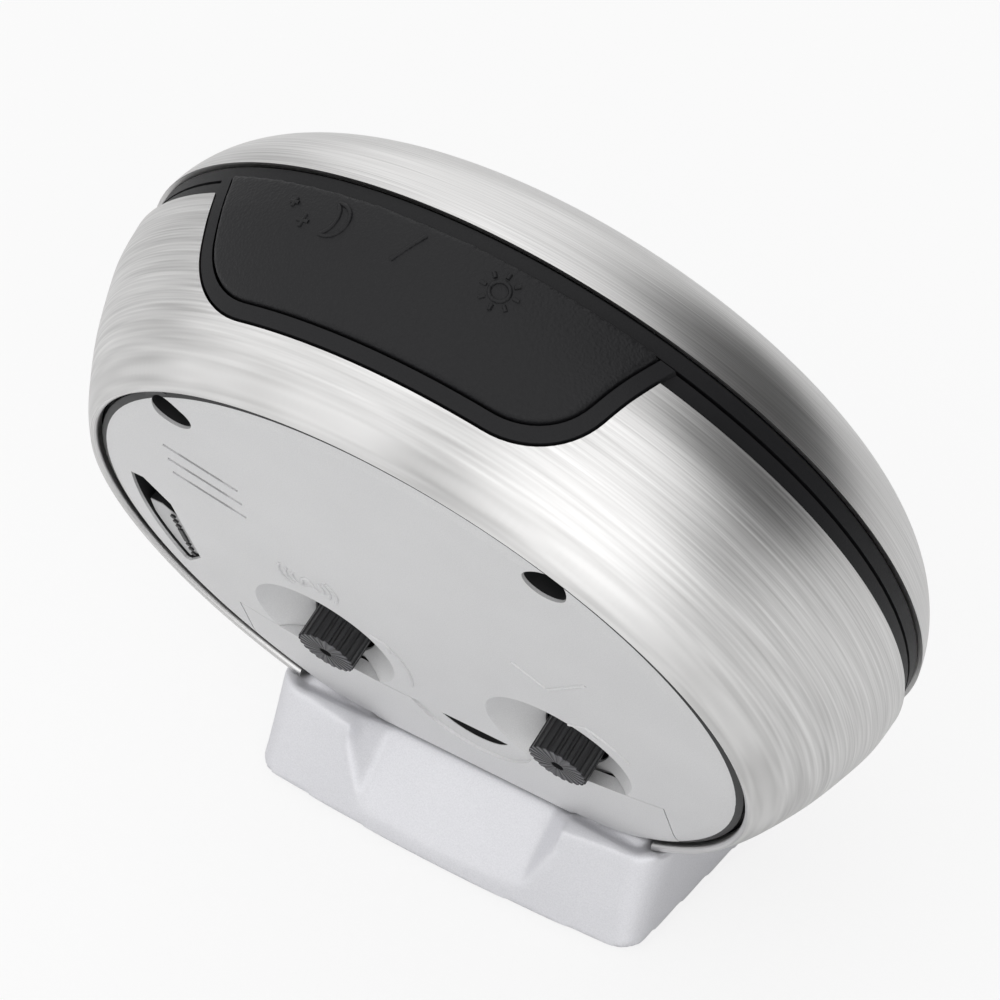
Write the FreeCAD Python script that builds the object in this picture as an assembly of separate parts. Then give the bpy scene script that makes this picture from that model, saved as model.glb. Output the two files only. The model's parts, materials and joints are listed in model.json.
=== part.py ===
import FreeCAD, Part
import math
import os

Vector = FreeCAD.Vector

# Round bedside clock with a brushed steel case that leans back on a cast foot. All sizes in millimetres.
# The case is drawn in its own frame: +Y runs along the case's axis from the face to the back, +Z is the
# top of the dial and +X is the right-hand side seen from the front. y = 0 is the rear edge of the bezel.
# Everything is then leaned back and stood on the table.

# Attitude
LEAN = 20.0
AXIS_HEIGHT = 51.0

# Gaps
SHOW_GAP = 0.3
FIT_GAP = 0.15
RUN_GAP = 0.05

# Case
CASE_R = 50.0
SHEET = 0.8
BEZEL_DEPTH = 10.3
BEZEL_LIP_R = 41.0
BEZEL_NOSE_R = 42.2
BEZEL_SHOULDER_R = 47.5
BEZEL_SHOULDER_Y = -6.0
LENS_T = 1.6
LENS_EDGE = 1.6
DIAL_T = 0.5
DIAL_Y = -1.1
DIAL_RING_W = 3.0
DIAL_SIGHT_R = 39.2
FLOOR_T = 1.4
BAND_R = 49.5
FRONT_BAND_W = 1.7
GROOVE_W = 0.4
REAR_BAND_W = 1.7
SHELL_PROFILE = [(0.0, 50.2), (3.8, 49.8), (7.8, 48.6), (11.8, 47.1), (15.8, 45.1), (18.3, 43.6)]
SHELL_END_R = 42.2
LIP_R = 41.6
LIP_DROP = 0.7
WALL_R = 42.4
WALL_T = 1.1
LEDGE_W = 1.8

# Rear cover
COVER_Y = 24.3
COVER_T = 2.0
COVER_EDGE_DROP = 0.7
COVER_FLAT_R = 38.5
COVER_SCREW_X = 23.2
COVER_SCREW_Z = 30.3
COVER_SCREW_HOLE_R = 2.55
COVER_SCREW_R = 1.1
COVER_SCREW_HEAD_R = 2.1
COVER_SCREW_HEAD_H = 1.4
COVER_SCREW_DEPTH = 6.6
COVER_SCREW_LENGTH = 11.0
TUBE_T = 0.9

# Snooze and light button at the top: half widths at the front and the rear, and the rear edge's place
BUTTON_FRONT_X = 25.8
BUTTON_REAR_X = 20.6
BUTTON_Y0 = 2.2
BUTTON_Y1 = 15.3
BUTTON_CORNER = 8.5
BUTTON_T = 1.8
BUTTON_PROUD = 0.35
BUTTON_TRAVEL = 1.2
SURROUND_MARGIN = 1.8
BUTTON_LEG_W = 3.0
BUTTON_LEG_X = 12.0
BUTTON_LEG_HALF = 2.5
BUTTON_LEG_END = 42.0
BUTTON_LEG_TOP = 46.6
PLUNGER_HALF = 1.5
SNOOZE_BOARD_Z = 36.4
SNOOZE_BOARD_T = 1.0
SNOOZE_BOARD_HALF = 13.0
SNOOZE_KEY_HALF = 3.0
SNOOZE_KEY_H = 1.8
SNOOZE_CAP_R = 1.5
SNOOZE_CAP_H = 0.6
SHELF_T = 1.2
SHELF_HALF = 17.0

# Alarm slide switch
SWITCH_X0 = 32.2
SWITCH_R = 37.2
SWITCH_Z0 = -12.0
SWITCH_Z1 = 8.0
SWITCH_LENGTH = 12.4
SWITCH_TRAVEL = 5.0
SWITCH_DEPTH = 4.5
SWITCH_TOP_DROP = 0.6
SWITCH_PLAY = 0.25
SWITCH_CUT_X = 2.4
SWITCH_CUT_LOW = 2.6
SWITCH_CUT_HIGH = 4.4
SWITCH_STUDS = 3
SWITCH_STUD_R = 0.35
SWITCH_STUD_PITCH = 1.15
SWITCH_BAR_W = 0.6
SWITCH_BAR_L = 3.0
SWITCH_MARK_H = 0.35
SWITCH_BLOCK_T = 3.0

# Sound slots
SLOT_COUNT = 3
SLOT_X = 23.05
SLOT_Z = 18.9
SLOT_PITCH_X = 0.45
SLOT_PITCH_Z = -3.35
SLOT_ANGLE = 21.0
SLOT_W = 0.7
SLOT_LENGTH = 9.6
SLOT_THROUGH = 5.6
SLOT_GROOVE = 0.35
BUZZER_R = 8.0
BUZZER_T = 3.2

# Setting knobs and their dishes
KNOB_X = 16.0
KNOB_Z = -17.6
KNOB_R = 3.75
KNOB_FLUTES = 22
KNOB_FLUTE_R = 0.3
KNOB_PROUD = 1.1
KNOB_LENGTH = 7.2
KNOB_HOLE_R = 4.3
KNOB_EYE_R = 0.8
KNOB_EYE_DEPTH = 1.6
SHAFT_R = 1.2
SHAFT_PIVOT_R = 0.8
DISH_Z = -14.6
DISH_R = 9.5
DISH_DEPTH = 4.6
DISH_WALL = 1.3

# Battery, its box and its door
CELL_R = 7.0
CELL_LENGTH = 50.5
CELL_NUB_R = 2.6
CELL_NUB_H = 1.2
CELL_Y = 14.0
CELL_Z = -27.5
BOX_WALL = 0.85
BOX_CLEAR = 0.3
SPRING_R = 3.0
SPRING_WIRE_R = 0.3
SPRING_TURNS = 3
SPRING_LENGTH = 4.8
CONTACT_T = 0.4
CONTACT_H = 9.0
DOOR_HALF = 29.3
DOOR_TOP_Z = -22.1
DOOR_CORNER_Z = -18.0
DOOR_T = 1.6
CHORD_EDGE_X = 24.4
CHORD_EDGE_Z = -33.4
CHORD_STEP_X = 14.4
CHORD_STEP_Z = -34.6
CHORD_TAB_X = 13.2
CHORD_TAB_Z = -36.0
NOTCH_X = -2.6
NOTCH_Z = -20.15
NOTCH_R = 5.65
NOTCH_RIM_R = 8.7
NOTCH_RIM_DROP = 0.4
NOTCH_DEPTH = 2.2
NOTCH_WALL = 0.7
DOOR_SWING = 25.0
DOOR_STEPS = 6

# Foot, in the table's frame: y from the case's axis point, z from the table
FOOT_REAR_Y = 20.0
FOOT_REAR_SAG = 1.1
FOOT_CORNER_X = 23.5
FOOT_SIDE_REAR_X = 27.4
FOOT_SIDE_REAR_Y = 15.0
FOOT_SIDE_FRONT_X = 29.6
FOOT_FRONT_Y = -13.0
FOOT_FRONT_X = 24.0
FOOT_FRONT_SAG = 4.0
FOOT_TOP = 11.5
FOOT_TOP_REAR_Y = 16.2
FOOT_TOP_CORNER_X = 21.5
FOOT_TOP_CORNER_Y = 14.2
FOOT_TOP_SIDE_Y = 10.5
TROUGH_HALF = 14.6
TROUGH_FLOOR_HALF = 11.6
TROUGH_LIP = 1.6
TROUGH_TOP_H = 9.2
TROUGH_SIDE_H = 3.0
TROUGH_FLARE = 1.5
TROUGH_REACH = 12.0
NECK_Y = 16.8
PAD_R = 3.2
PAD_T = 1.0
PAD_SINK = 0.4
PAD_PLACES = [(-22.0, 12.5), (22.0, 12.5), (-23.5, -8.5), (23.5, -8.5)]
FOOT_SCREW_X = 8.0
FOOT_SCREW_DROP = 2.2
FOOT_SCREW_R = 1.2
FOOT_SCREW_HEAD_R = 1.9
FOOT_SCREW_HEAD_H = 1.3
FOOT_SCREW_LENGTH = 8.0
WEB_T = 1.8

# Clockwork: teeth, and layers counted from the movement's front plate
PLATE_T = 1.0
PLATE_HALF = 26.0
PLATE_TOP = 20.0
PLATE_FOOT = -27.0
MOVEMENT_Y1 = 13.0
MOVEMENT_FLOOR_Z = -18.9
GEAR_T = 0.8
LAYER_ALARM = 1.7
LAYER_HOUR = 2.9
LAYER_MINUTE = 4.2
LAYER_CENTRE = 5.6
LAYER_THIRD = 7.0
LAYER_SECOND = 8.4
LAYER_ROTOR = 9.8
ALARM_TEETH = 40
ALARM_KNOB_TEETH = 20
CANNON_TEETH = 12
IDLER_TEETH = 36
TIME_KNOB_TEETH = 18
IDLER_PINION_TEETH = 10
HOUR_TEETH = 40
CENTRE_TEETH = 64
THIRD_PINION_TEETH = 8
THIRD_TEETH = 60
SECOND_PINION_TEETH = 8
SECOND_TEETH = 50
STEP_PINION_TEETH = 10
STEP_TEETH = 48
ROTOR_TEETH = 8
THIRD_DISTANCE = 10.2
THIRD_ANGLE = 130.0
STEP_DISTANCE = 9.0
STEP_ANGLE = 25.0
ROTOR_DISTANCE = 7.0
ROTOR_ANGLE = 75.0
SECOND_ARBOR_R = 0.5
MINUTE_TUBE_R = 1.1
HOUR_TUBE_R = 1.75
ALARM_TUBE_R = 2.4
STEM_R = 3.3
PIN_R = 0.5
MAGNET_R = 2.2
STATOR_Y = 7.8
STATOR_X0 = 4.4
STATOR_X1 = 23.6
STATOR_HALF = 3.2
STATOR_EAR = 2.0
CORE_HALF = 0.6
COIL_R = 2.3
COIL_Z = 16.4
CIRCUIT_X0 = -24.5
CIRCUIT_X1 = -6.0
CIRCUIT_Y = 11.0
CIRCUIT_Z0 = 4.0
CIRCUIT_Z1 = 18.5
CHIP_X = -19.0
CHIP_Z = 8.0
CHIP_SIZE = 5.0
CHIP_T = 1.2
CRYSTAL_X = -12.0
CRYSTAL_R = 1.0
CRYSTAL_LENGTH = 6.0
ROTOR_PIN_R = 0.3

# Hands, from the dial outwards
HAND_T = 0.3
ALARM_HAND_Y = -2.2
HAND_STEP = 1.15
ALARM_HAND_LENGTH = 22.0
HOUR_HAND_LENGTH = 24.0
MINUTE_HAND_LENGTH = 34.0
SECOND_HAND_LENGTH = 35.0
ALARM_HAND_W = 1.4
ALARM_HAND_TIP = 0.8
ALARM_HAND_TAIL = 4.0
HOUR_HAND_W = 3.4
HOUR_HAND_TIP = 2.2
HOUR_HAND_TAIL = 6.0
HOUR_HAND_RIM = 0.8
MINUTE_HAND_W = 2.6
MINUTE_HAND_TIP = 1.6
MINUTE_HAND_TAIL = 7.0
MINUTE_HAND_RIM = 0.7
SECOND_HAND_W = 0.7
SECOND_HAND_TIP = 0.5
SECOND_HAND_TAIL = 11.0
HUB_R = 3.2
MINUTE_HUB_R = 2.6
SECOND_HUB_R = 1.8
SHOWN_HOUR = 10
SHOWN_MINUTE = 10
SHOWN_SECOND = 35
SHOWN_ALARM = 7

# Derived places
bezel_lip_y = -BEZEL_DEPTH + 0.5
lens_y0 = bezel_lip_y + SHEET
lens_y1 = lens_y0 + LENS_T
lens_r = BEZEL_LIP_R + LENS_EDGE
dial_y0 = DIAL_Y - DIAL_T
floor_y1 = DIAL_Y + FLOOR_T
front_band_y1 = SHOW_GAP + FRONT_BAND_W
rear_band_y0 = front_band_y1 + GROOVE_W
rear_band_y1 = rear_band_y0 + REAR_BAND_W
shell_y0 = rear_band_y1 + SHOW_GAP
shell_y1 = COVER_Y + FIT_GAP
cover_inner_y = COVER_Y - COVER_T
cover_r = LIP_R - SHOW_GAP - FIT_GAP
housing_seat_y = cover_inner_y
housing_inner_r = WALL_R - WALL_T
knob_end_y = COVER_Y + KNOB_PROUD
knob_start_y = knob_end_y - KNOB_LENGTH
screw_seat_y = COVER_Y - COVER_SCREW_DEPTH
hinge_y = COVER_Y - DOOR_T / 2
hinge_z = CHORD_TAB_Z + DOOR_T / 2
knob_reach = math.hypot(KNOB_X, KNOB_Z)
case_pivot = Vector(0, 0, AXIS_HEIGHT)


def cylinder(radius, y0, y1, x=0.0, z=0.0):
    return Part.makeCylinder(radius, y1 - y0, Vector(x, y0, z), Vector(0, 1, 0))


def box(x0, x1, y0, y1, z0, z1):
    return Part.makeBox(x1 - x0, y1 - y0, z1 - z0, Vector(x0, y0, z0))


def edges_through(points):
    """Edges from a list of (x, y, z) vectors; a pair of vectors stands for an arc's middle and end."""
    edges = []
    last = points[0]
    for item in points[1:]:
        if isinstance(item, tuple):
            edges.append(Part.Arc(last, item[0], item[1]).toShape())
            last = item[1]
        else:
            edges.append(Part.LineSegment(last, item).toShape())
            last = item
    return edges


def closed_face(points):
    edges = edges_through(points)
    first = points[0]
    last = points[-1][1] if isinstance(points[-1], tuple) else points[-1]
    if first.distanceToPoint(last) > 1e-6:
        edges.append(Part.LineSegment(last, first).toShape())
    return Part.Face(Part.Wire(edges))


def ry(radius, y):
    """A point of a turned section: radius up, y along the axis."""
    return Vector(0, y, radius)


def turned(points, angle=360.0, start=0.0):
    face = closed_face(points)
    if start:
        face.rotate(Vector(0, 0, 0), Vector(0, 1, 0), start)
    return face.revolve(Vector(0, 0, 0), Vector(0, 1, 0), angle)


def prism_y(points, y0, y1):
    """A face drawn in x and z, pushed along the case's axis."""
    face = closed_face([place_y(p, y0) for p in points])
    return face.extrude(Vector(0, y1 - y0, 0))


def place_y(point, y):
    if isinstance(point[0], tuple):
        return (Vector(point[0][0], y, point[0][1]), Vector(point[1][0], y, point[1][1]))
    return Vector(point[0], y, point[1])


def prism_z(points, z0, z1):
    """A face drawn in x and y, pushed upwards."""
    face = closed_face([place_z(p, z0) for p in points])
    return face.extrude(Vector(0, 0, z1 - z0))


def place_z(point, z):
    if isinstance(point[0], tuple):
        return (Vector(point[0][0], point[0][1], z), Vector(point[1][0], point[1][1], z))
    return Vector(point[0], point[1], z)


def tube(outer_r, inner_r, y0, y1, x=0.0, z=0.0):
    return cylinder(outer_r, y0, y1, x, z).cut(cylinder(inner_r, y0 - 1, y1 + 1, x, z))


def polar(distance, degrees, origin=(0.0, 0.0)):
    angle = math.radians(degrees)
    return (origin[0] + distance * math.cos(angle), origin[1] + distance * math.sin(angle))


def gear(teeth, module, y0, y1, centre, phase, bore=0.0):
    """A spur gear in the x and z plane, with one tooth's middle at the angle phase in radians."""
    pitch_r = teeth * module / 2
    tip_r = pitch_r + 0.75 * module
    root_r = pitch_r - 1.05 * module
    pitch = 2 * math.pi / teeth
    points = []
    for index in range(teeth):
        middle = phase + index * pitch
        for radius, part in ((root_r, -0.31), (tip_r, -0.09), (tip_r, 0.09), (root_r, 0.31)):
            angle = middle + part * pitch
            points.append(Vector(centre[0] + radius * math.cos(angle), y0,
                                 centre[1] + radius * math.sin(angle)))
    points.append(points[0])
    solid = Part.Face(Part.makePolygon(points)).extrude(Vector(0, y1 - y0, 0))
    if bore:
        solid = solid.cut(cylinder(bore, y0 - 1, y1 + 1, centre[0], centre[1]))
    return solid


def mesh_phase(teeth_a, phase_a, centre_a, teeth_b, centre_b):
    """The phase that puts a gap of gear b where gear a has a tooth."""
    line = math.atan2(centre_b[1] - centre_a[1], centre_b[0] - centre_a[0])
    pitch_a = 2 * math.pi / teeth_a
    offset = (phase_a - line + pitch_a / 2) % pitch_a - pitch_a / 2
    return line + math.pi - offset * teeth_a / teeth_b + math.pi / teeth_b


def shell_points(offset):
    """The rear shell's outer line as (radius, y), moved in or out by an offset."""
    return [(radius + offset, shell_y0 + step) for step, radius in SHELL_PROFILE]


def curve_between(points):
    """One smooth edge through turned-section points."""
    spline = Part.BSplineCurve()
    spline.interpolate([ry(radius, y) for radius, y in points])
    return spline.toShape()


def revolve_edges(edges, angle=360.0):
    face = Part.Face(Part.Wire(edges))
    return face.revolve(Vector(0, 0, 0), Vector(0, 1, 0), angle)


def line(a, b):
    return Part.LineSegment(a, b).toShape()


def rounded_corner(corner, before, after, radius):
    """The start, middle and end of the arc that rounds a corner between its two neighbours."""
    to_before = (Vector(*before, 0) - Vector(*corner, 0)).normalize()
    to_after = (Vector(*after, 0) - Vector(*corner, 0)).normalize()
    half_angle = to_before.getAngle(to_after) / 2
    inwards = (to_before + to_after).normalize()
    point = Vector(*corner, 0)
    reach = radius / math.tan(half_angle)
    start = point + to_before * reach
    end = point + to_after * reach
    middle = point + inwards * (radius / math.sin(half_angle) - radius)
    return (start.x, start.y), (middle.x, middle.y), (end.x, end.y)


def button_outline(margin, front_y):
    """The button's outline from above in x and y, widened by a margin and squared off at front_y."""
    slope = (BUTTON_FRONT_X - BUTTON_REAR_X) / (BUTTON_Y1 - BUTTON_Y0)
    rear_y = BUTTON_Y1 + margin
    front_x = BUTTON_FRONT_X + margin - slope * (front_y - BUTTON_Y0)
    corner_x = BUTTON_FRONT_X + margin - slope * (rear_y - BUTTON_Y0)
    start, middle, end = rounded_corner((corner_x, rear_y), (front_x, front_y), (0.0, rear_y),
                                        BUTTON_CORNER + margin)
    return [(-front_x, front_y), (front_x, front_y), start, (middle, end),
            (-end[0], end[1]), ((-middle[0], middle[1]), (-start[0], start[1]))]


def barrel_solid(offset, y0, y1):
    """The solid of revolution inside the rear shell's outer line, moved by an offset, between two planes."""
    points = shell_points(offset)
    front = points[0][0]
    edges = [line(ry(0, y0), ry(front, y0)), line(ry(front, y0), ry(*points[0])), curve_between(points)]
    tail_r, tail_y = points[-1]
    edges += [line(ry(tail_r, tail_y), ry(tail_r - (y1 - tail_y) * 0.65, y1))]
    edges += [line(ry(tail_r - (y1 - tail_y) * 0.65, y1), ry(0, y1)), line(ry(0, y1), ry(0, y0))]
    return revolve_edges(edges)


def chord_line(rise):
    """The stepped line along the cover's lower edge from right to left, in x and z, moved up by a rise."""
    right = [(CHORD_EDGE_X, CHORD_EDGE_Z + rise), (CHORD_STEP_X, CHORD_STEP_Z + rise),
             (CHORD_TAB_X, CHORD_TAB_Z + rise)]
    return right + [(-x, z) for x, z in reversed(right)]


def below_chord():
    """The outline of everything below the stepped line."""
    return [(CHORD_EDGE_X, -60.0)] + chord_line(0.0) + [(-CHORD_EDGE_X, -60.0)]


def door_outline(shrink):
    """The door's outline in x and z: a hanging curve at the top and near-upright sides."""
    half = DOOR_HALF - shrink
    corner_z = DOOR_CORNER_Z - shrink
    mid_x = half * 0.72
    mid_z = DOOR_TOP_Z + (DOOR_CORNER_Z - DOOR_TOP_Z) * 0.42 - shrink
    flat_x = half * 0.36
    top_z = DOOR_TOP_Z - shrink
    return [(-half - 0.6, -45.0), (half + 0.6, -45.0), (half, corner_z), ((mid_x, mid_z), (flat_x, top_z)),
            (-flat_x, top_z), ((-mid_x, mid_z), (-half, corner_z))]


def cover_blank(y_inner):
    points = [ry(0, y_inner), ry(cover_r, y_inner), ry(cover_r, COVER_Y - COVER_EDGE_DROP)]
    shoulder = (COVER_FLAT_R + cover_r) / 2
    points.append((ry(shoulder, COVER_Y - COVER_EDGE_DROP * 0.28), ry(COVER_FLAT_R, COVER_Y)))
    points.append(ry(0, COVER_Y))
    return turned(points)


nodes = {}
table_nodes = {}


def keep(name, shape):
    nodes[name] = shape


# Front: bezel, lens, dial ring, dial
def make_front_bezel():
    nose = ry(BEZEL_NOSE_R, -BEZEL_DEPTH)
    edges = [Part.Arc(ry(CASE_R, 0), ry(BEZEL_SHOULDER_R, BEZEL_SHOULDER_Y), nose).toShape()]
    lip = ry(BEZEL_LIP_R, bezel_lip_y)
    lip_back = ry(BEZEL_LIP_R, lens_y0)
    inner_nose = ry(lens_r + FIT_GAP, lens_y0)
    edges += [line(nose, lip), line(lip, lip_back), line(lip_back, inner_nose)]
    inner_shoulder = ry(BEZEL_SHOULDER_R - SHEET, BEZEL_SHOULDER_Y + SHEET * 0.6)
    edges += [Part.Arc(inner_nose, inner_shoulder, ry(CASE_R - SHEET, 0)).toShape()]
    edges += [line(ry(CASE_R - SHEET, 0), ry(CASE_R, 0))]
    keep("front_bezel", revolve_edges(edges))


def make_face():
    keep("lens", cylinder(lens_r, lens_y0, lens_y1))
    ring = [ry(lens_r, lens_y1), ry(lens_r, dial_y0), ry(DIAL_SIGHT_R, dial_y0),
            ry(lens_r - DIAL_RING_W + 0.6, lens_y1)]
    lamp_pocket = box(-2.2, 2.2, lens_y1 + 1.2, dial_y0 - 0.2, DIAL_SIGHT_R - 2.0, lens_r - 0.8)
    keep("dial_ring", turned(ring).cut(lamp_pocket))
    lamp = box(-2.0, 2.0, lens_y1 + 1.5, dial_y0 - 0.5, DIAL_SIGHT_R + 1.1, lens_r - 0.8)
    keep("dial_lamp", lamp)
    keep("dial", tube(lens_r, STEM_R + FIT_GAP, dial_y0, DIAL_Y))


# Plastic housings
def screw_points():
    return [(COVER_SCREW_X, COVER_SCREW_Z), (-COVER_SCREW_X, COVER_SCREW_Z)]


def make_front_housing():
    wall_r = lens_r + 1.2
    outline = [ry(STEM_R + FIT_GAP, DIAL_Y), ry(lens_r + FIT_GAP, DIAL_Y),
               ry(lens_r + FIT_GAP, lens_y1 + 0.2), ry(wall_r, lens_y1 + 0.2),
               ry(wall_r, -1.4), ry(CASE_R - SHEET - 0.7, -1.4),
               ry(CASE_R - SHEET - 0.7, SHOW_GAP), ry(BAND_R, SHOW_GAP), ry(BAND_R, front_band_y1),
               ry(WALL_R + 0.4, front_band_y1), ry(WALL_R + 0.4, floor_y1), ry(STEM_R + FIT_GAP, floor_y1)]
    housing = turned(outline)
    for x, z in screw_points():
        post = cylinder(3.0, floor_y1, screw_seat_y - 1.2, x, z)
        pilot = cylinder(COVER_SCREW_R - 0.1, screw_seat_y - COVER_SCREW_LENGTH, screw_seat_y, x, z)
        housing = housing.fuse(post).cut(pilot)
    keep("front_housing", housing)


def make_rear_housing():
    seat = floor_y1
    outline = [ry(housing_inner_r, seat), ry(WALL_R, seat), ry(WALL_R, rear_band_y0),
               ry(BAND_R, rear_band_y0), ry(BAND_R, rear_band_y1), ry(WALL_R, rear_band_y1),
               ry(WALL_R, housing_seat_y - 0.4), ry(housing_inner_r, housing_seat_y - 0.4)]
    housing = turned(outline)
    ledge = tube(housing_inner_r, housing_inner_r - LEDGE_W, housing_seat_y - 1.4, housing_seat_y)
    housing = housing.fuse(ledge)
    outer = prism_z(button_outline(SURROUND_MARGIN, rear_band_y0), 36.0, 60.0)
    collar = barrel_solid(0.0, rear_band_y0, housing_seat_y - 2.0).common(outer)
    collar = collar.cut(cylinder(housing_inner_r, rear_band_y0 - 1, COVER_Y))
    housing = housing.fuse(collar)
    housing = housing.cut(prism_z(button_outline(SHOW_GAP, rear_band_y0 - 0.2), 30.0, 60.0))
    neck = box(-CHORD_EDGE_X - 0.3, CHORD_EDGE_X + 0.3, NECK_Y, COVER_Y + 2, -60.0, -30.0)
    housing = housing.cut(neck)
    web = box(-CHORD_EDGE_X - 4, CHORD_EDGE_X + 4, NECK_Y - WEB_T, NECK_Y, -60.0, CHORD_TAB_Z - 0.6)
    web = web.common(cylinder(WALL_R, 0, 30))
    housing = housing.fuse(web)
    shelf_z = SNOOZE_BOARD_Z - SHELF_T
    shelf = box(-SHELF_HALF, SHELF_HALF, floor_y1, BUTTON_Y1 + 1.0, shelf_z, SNOOZE_BOARD_Z)
    lugs = [box(x, x + 2.0, floor_y1, BUTTON_Y1 + 1.0, shelf_z, SNOOZE_BOARD_Z + 3.1)
            for x in (-SHELF_HALF - 2.0, SHELF_HALF)]
    shelf = shelf.fuse(lugs).common(cylinder(WALL_R - 0.5, 0, 30))
    housing = housing.fuse(shelf)
    housing = housing.cut(battery_box_shape(BOX_WALL + FIT_GAP, COVER_Y + 1))
    for x, z in screw_points():
        housing = housing.cut(cylinder(COVER_SCREW_HOLE_R + TUBE_T + SHOW_GAP, 0, 30, x, z))
    for x in (-FOOT_SCREW_X, FOOT_SCREW_X):
        housing = housing.cut(cylinder(FOOT_SCREW_R + 0.1, NECK_Y - 5, NECK_Y + 1, x, foot_screw_z()))
    keep("rear_housing", housing.removeSplitter())


def foot_screw_z():
    return CHORD_TAB_Z - FOOT_SCREW_DROP


def make_rear_shell():
    outer = shell_points(0.0)
    inner = [(radius - SHEET, y) for radius, y in outer]
    lip_top = ry(SHELL_END_R, shell_y1)
    lip_inner = ry(LIP_R, shell_y1 - LIP_DROP)
    under = ry(LIP_R + 0.1, shell_y1 - LIP_DROP - SHEET)
    edges = [line(ry(*inner[0]), ry(*outer[0])), curve_between(outer), line(ry(*outer[-1]), lip_top)]
    edges += [Part.Arc(lip_top, ry((SHELL_END_R + LIP_R) / 2 - 0.08, shell_y1 - 0.12), lip_inner).toShape()]
    edges += [line(lip_inner, under), line(under, ry(*inner[-1]))]
    back = Part.BSplineCurve()
    back.interpolate([ry(radius, y) for radius, y in reversed(inner)])
    edges.append(back.toShape())
    shell = revolve_edges(edges)
    window = prism_z(button_outline(SURROUND_MARGIN + SHOW_GAP, shell_y0 - 1.0), 20.0, 60.0)
    neck = box(-CHORD_EDGE_X - 0.6, CHORD_EDGE_X + 0.6, NECK_Y - 0.3, COVER_Y + 2, -60.0, -30.0)
    keep("rear_shell", shell.cut(window).cut(neck))


# Rear cover with its dishes, slots and battery box
def sound_slots():
    slots = []
    for index in range(SLOT_COUNT):
        x = SLOT_X + index * SLOT_PITCH_X
        z = SLOT_Z + index * SLOT_PITCH_Z
        groove = box(-SLOT_LENGTH / 2, SLOT_LENGTH / 2, COVER_Y - SLOT_GROOVE, COVER_Y + 1,
                     -SLOT_W / 2, SLOT_W / 2)
        through = box(-SLOT_THROUGH / 2, SLOT_THROUGH / 2, 20.0, COVER_Y + 1, -SLOT_W / 2, SLOT_W / 2)
        for piece in (groove, through):
            piece.rotate(Vector(0, 0, 0), Vector(0, 1, 0), -SLOT_ANGLE)
            piece.translate(Vector(x, 0, z))
            slots.append(piece)
    return slots


def switch_recess(shrink, z0, z1, y0, y1, high_cut):
    """A recess with a straight inner side, its corners cut off, and an outer side that follows the rim."""
    inner = SWITCH_X0 + shrink
    cut_x = inner + SWITCH_CUT_X
    outer = SWITCH_R - shrink
    a = (math.sqrt(outer ** 2 - z0 ** 2), z0)
    b = (math.sqrt(outer ** 2 - z1 ** 2), z1)
    middle = (z0 + z1) / 2
    mid = (math.sqrt(outer ** 2 - middle ** 2), middle)
    outline = [(inner, z0 + SWITCH_CUT_LOW), (cut_x, z0), a, (mid, b), (cut_x, z1), (inner, z1 - high_cut)]
    return prism_y(outline, y0, y1)


def battery_box_shape(grow, y1):
    """A trough for the cell, open to the rear, with its ends rounded off where the steel shell curves in."""
    half = CELL_LENGTH / 2 + SPRING_LENGTH / 2 + CONTACT_T + grow
    radius = CELL_R + BOX_CLEAR + grow
    section = [(CELL_Y, CELL_Z + radius), ((CELL_Y - radius, CELL_Z), (CELL_Y, CELL_Z - radius)),
               (y1, CELL_Z - radius), (y1, CELL_Z + radius)]
    points = []
    for item in section:
        if isinstance(item[0], tuple):
            points.append((Vector(-half, *item[0]), Vector(-half, *item[1])))
        else:
            points.append(Vector(-half, *item))
    trough = closed_face(points).extrude(Vector(2 * half, 0, 0))
    return trough.common(barrel_solid(grow - SHEET - SHOW_GAP - BOX_WALL, 0.0, y1 + 1))


def make_rear_cover():
    cover = cover_blank(cover_inner_y)
    for x, z in screw_points():
        cover = cover.fuse(cylinder(COVER_SCREW_HOLE_R + TUBE_T, screw_seat_y - 1.2, COVER_Y - 0.5, x, z))
    ball_r = (DISH_R ** 2 + DISH_DEPTH ** 2) / (2 * DISH_DEPTH)
    ball_y = COVER_Y - DISH_DEPTH + ball_r
    bowls = [Part.makeSphere(ball_r + DISH_WALL, Vector(x, ball_y, DISH_Z)) for x in (-KNOB_X, KNOB_X)]
    inside = box(-60, 60, 10, cover_inner_y + 0.5, -60, 60)
    for bowl in bowls:
        cover = cover.fuse(bowl.common(inside))
    cover = cover.fuse(battery_box_shape(BOX_WALL, cover_inner_y))
    recess_wall = switch_recess(-1.0, SWITCH_Z0 - 1.0, SWITCH_Z1 + 1.0, COVER_Y - SWITCH_DEPTH - 1.0,
                                COVER_Y - 1, SWITCH_CUT_HIGH)
    cover = cover.fuse(recess_wall)
    cover = cover.cut(prism_y(door_outline(0.0), cover_inner_y, COVER_Y + 1))
    cover = cover.cut(battery_box_shape(0.0, cover_inner_y).cut(bowls))
    cover = cover.cut(prism_y(below_chord(), cover_inner_y - 0.6, COVER_Y + 1))
    cover = cover.cut(switch_recess(0.0, SWITCH_Z0, SWITCH_Z1, COVER_Y - SWITCH_DEPTH, COVER_Y + 1,
                                    SWITCH_CUT_HIGH))
    for x in (-KNOB_X, KNOB_X):
        cover = cover.cut(Part.makeSphere(ball_r, Vector(x, ball_y, DISH_Z)))
        cover = cover.cut(cylinder(KNOB_HOLE_R, 15.0, COVER_Y + 1, x, KNOB_Z))
    for x, z in screw_points():
        cover = cover.cut(cylinder(COVER_SCREW_HOLE_R, screw_seat_y, COVER_Y + 1, x, z))
        cover = cover.cut(cylinder(COVER_SCREW_R + FIT_GAP, 5.0, COVER_Y + 1, x, z))
    cover = cover.cut(sound_slots())
    keep("rear_cover", cover)


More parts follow.
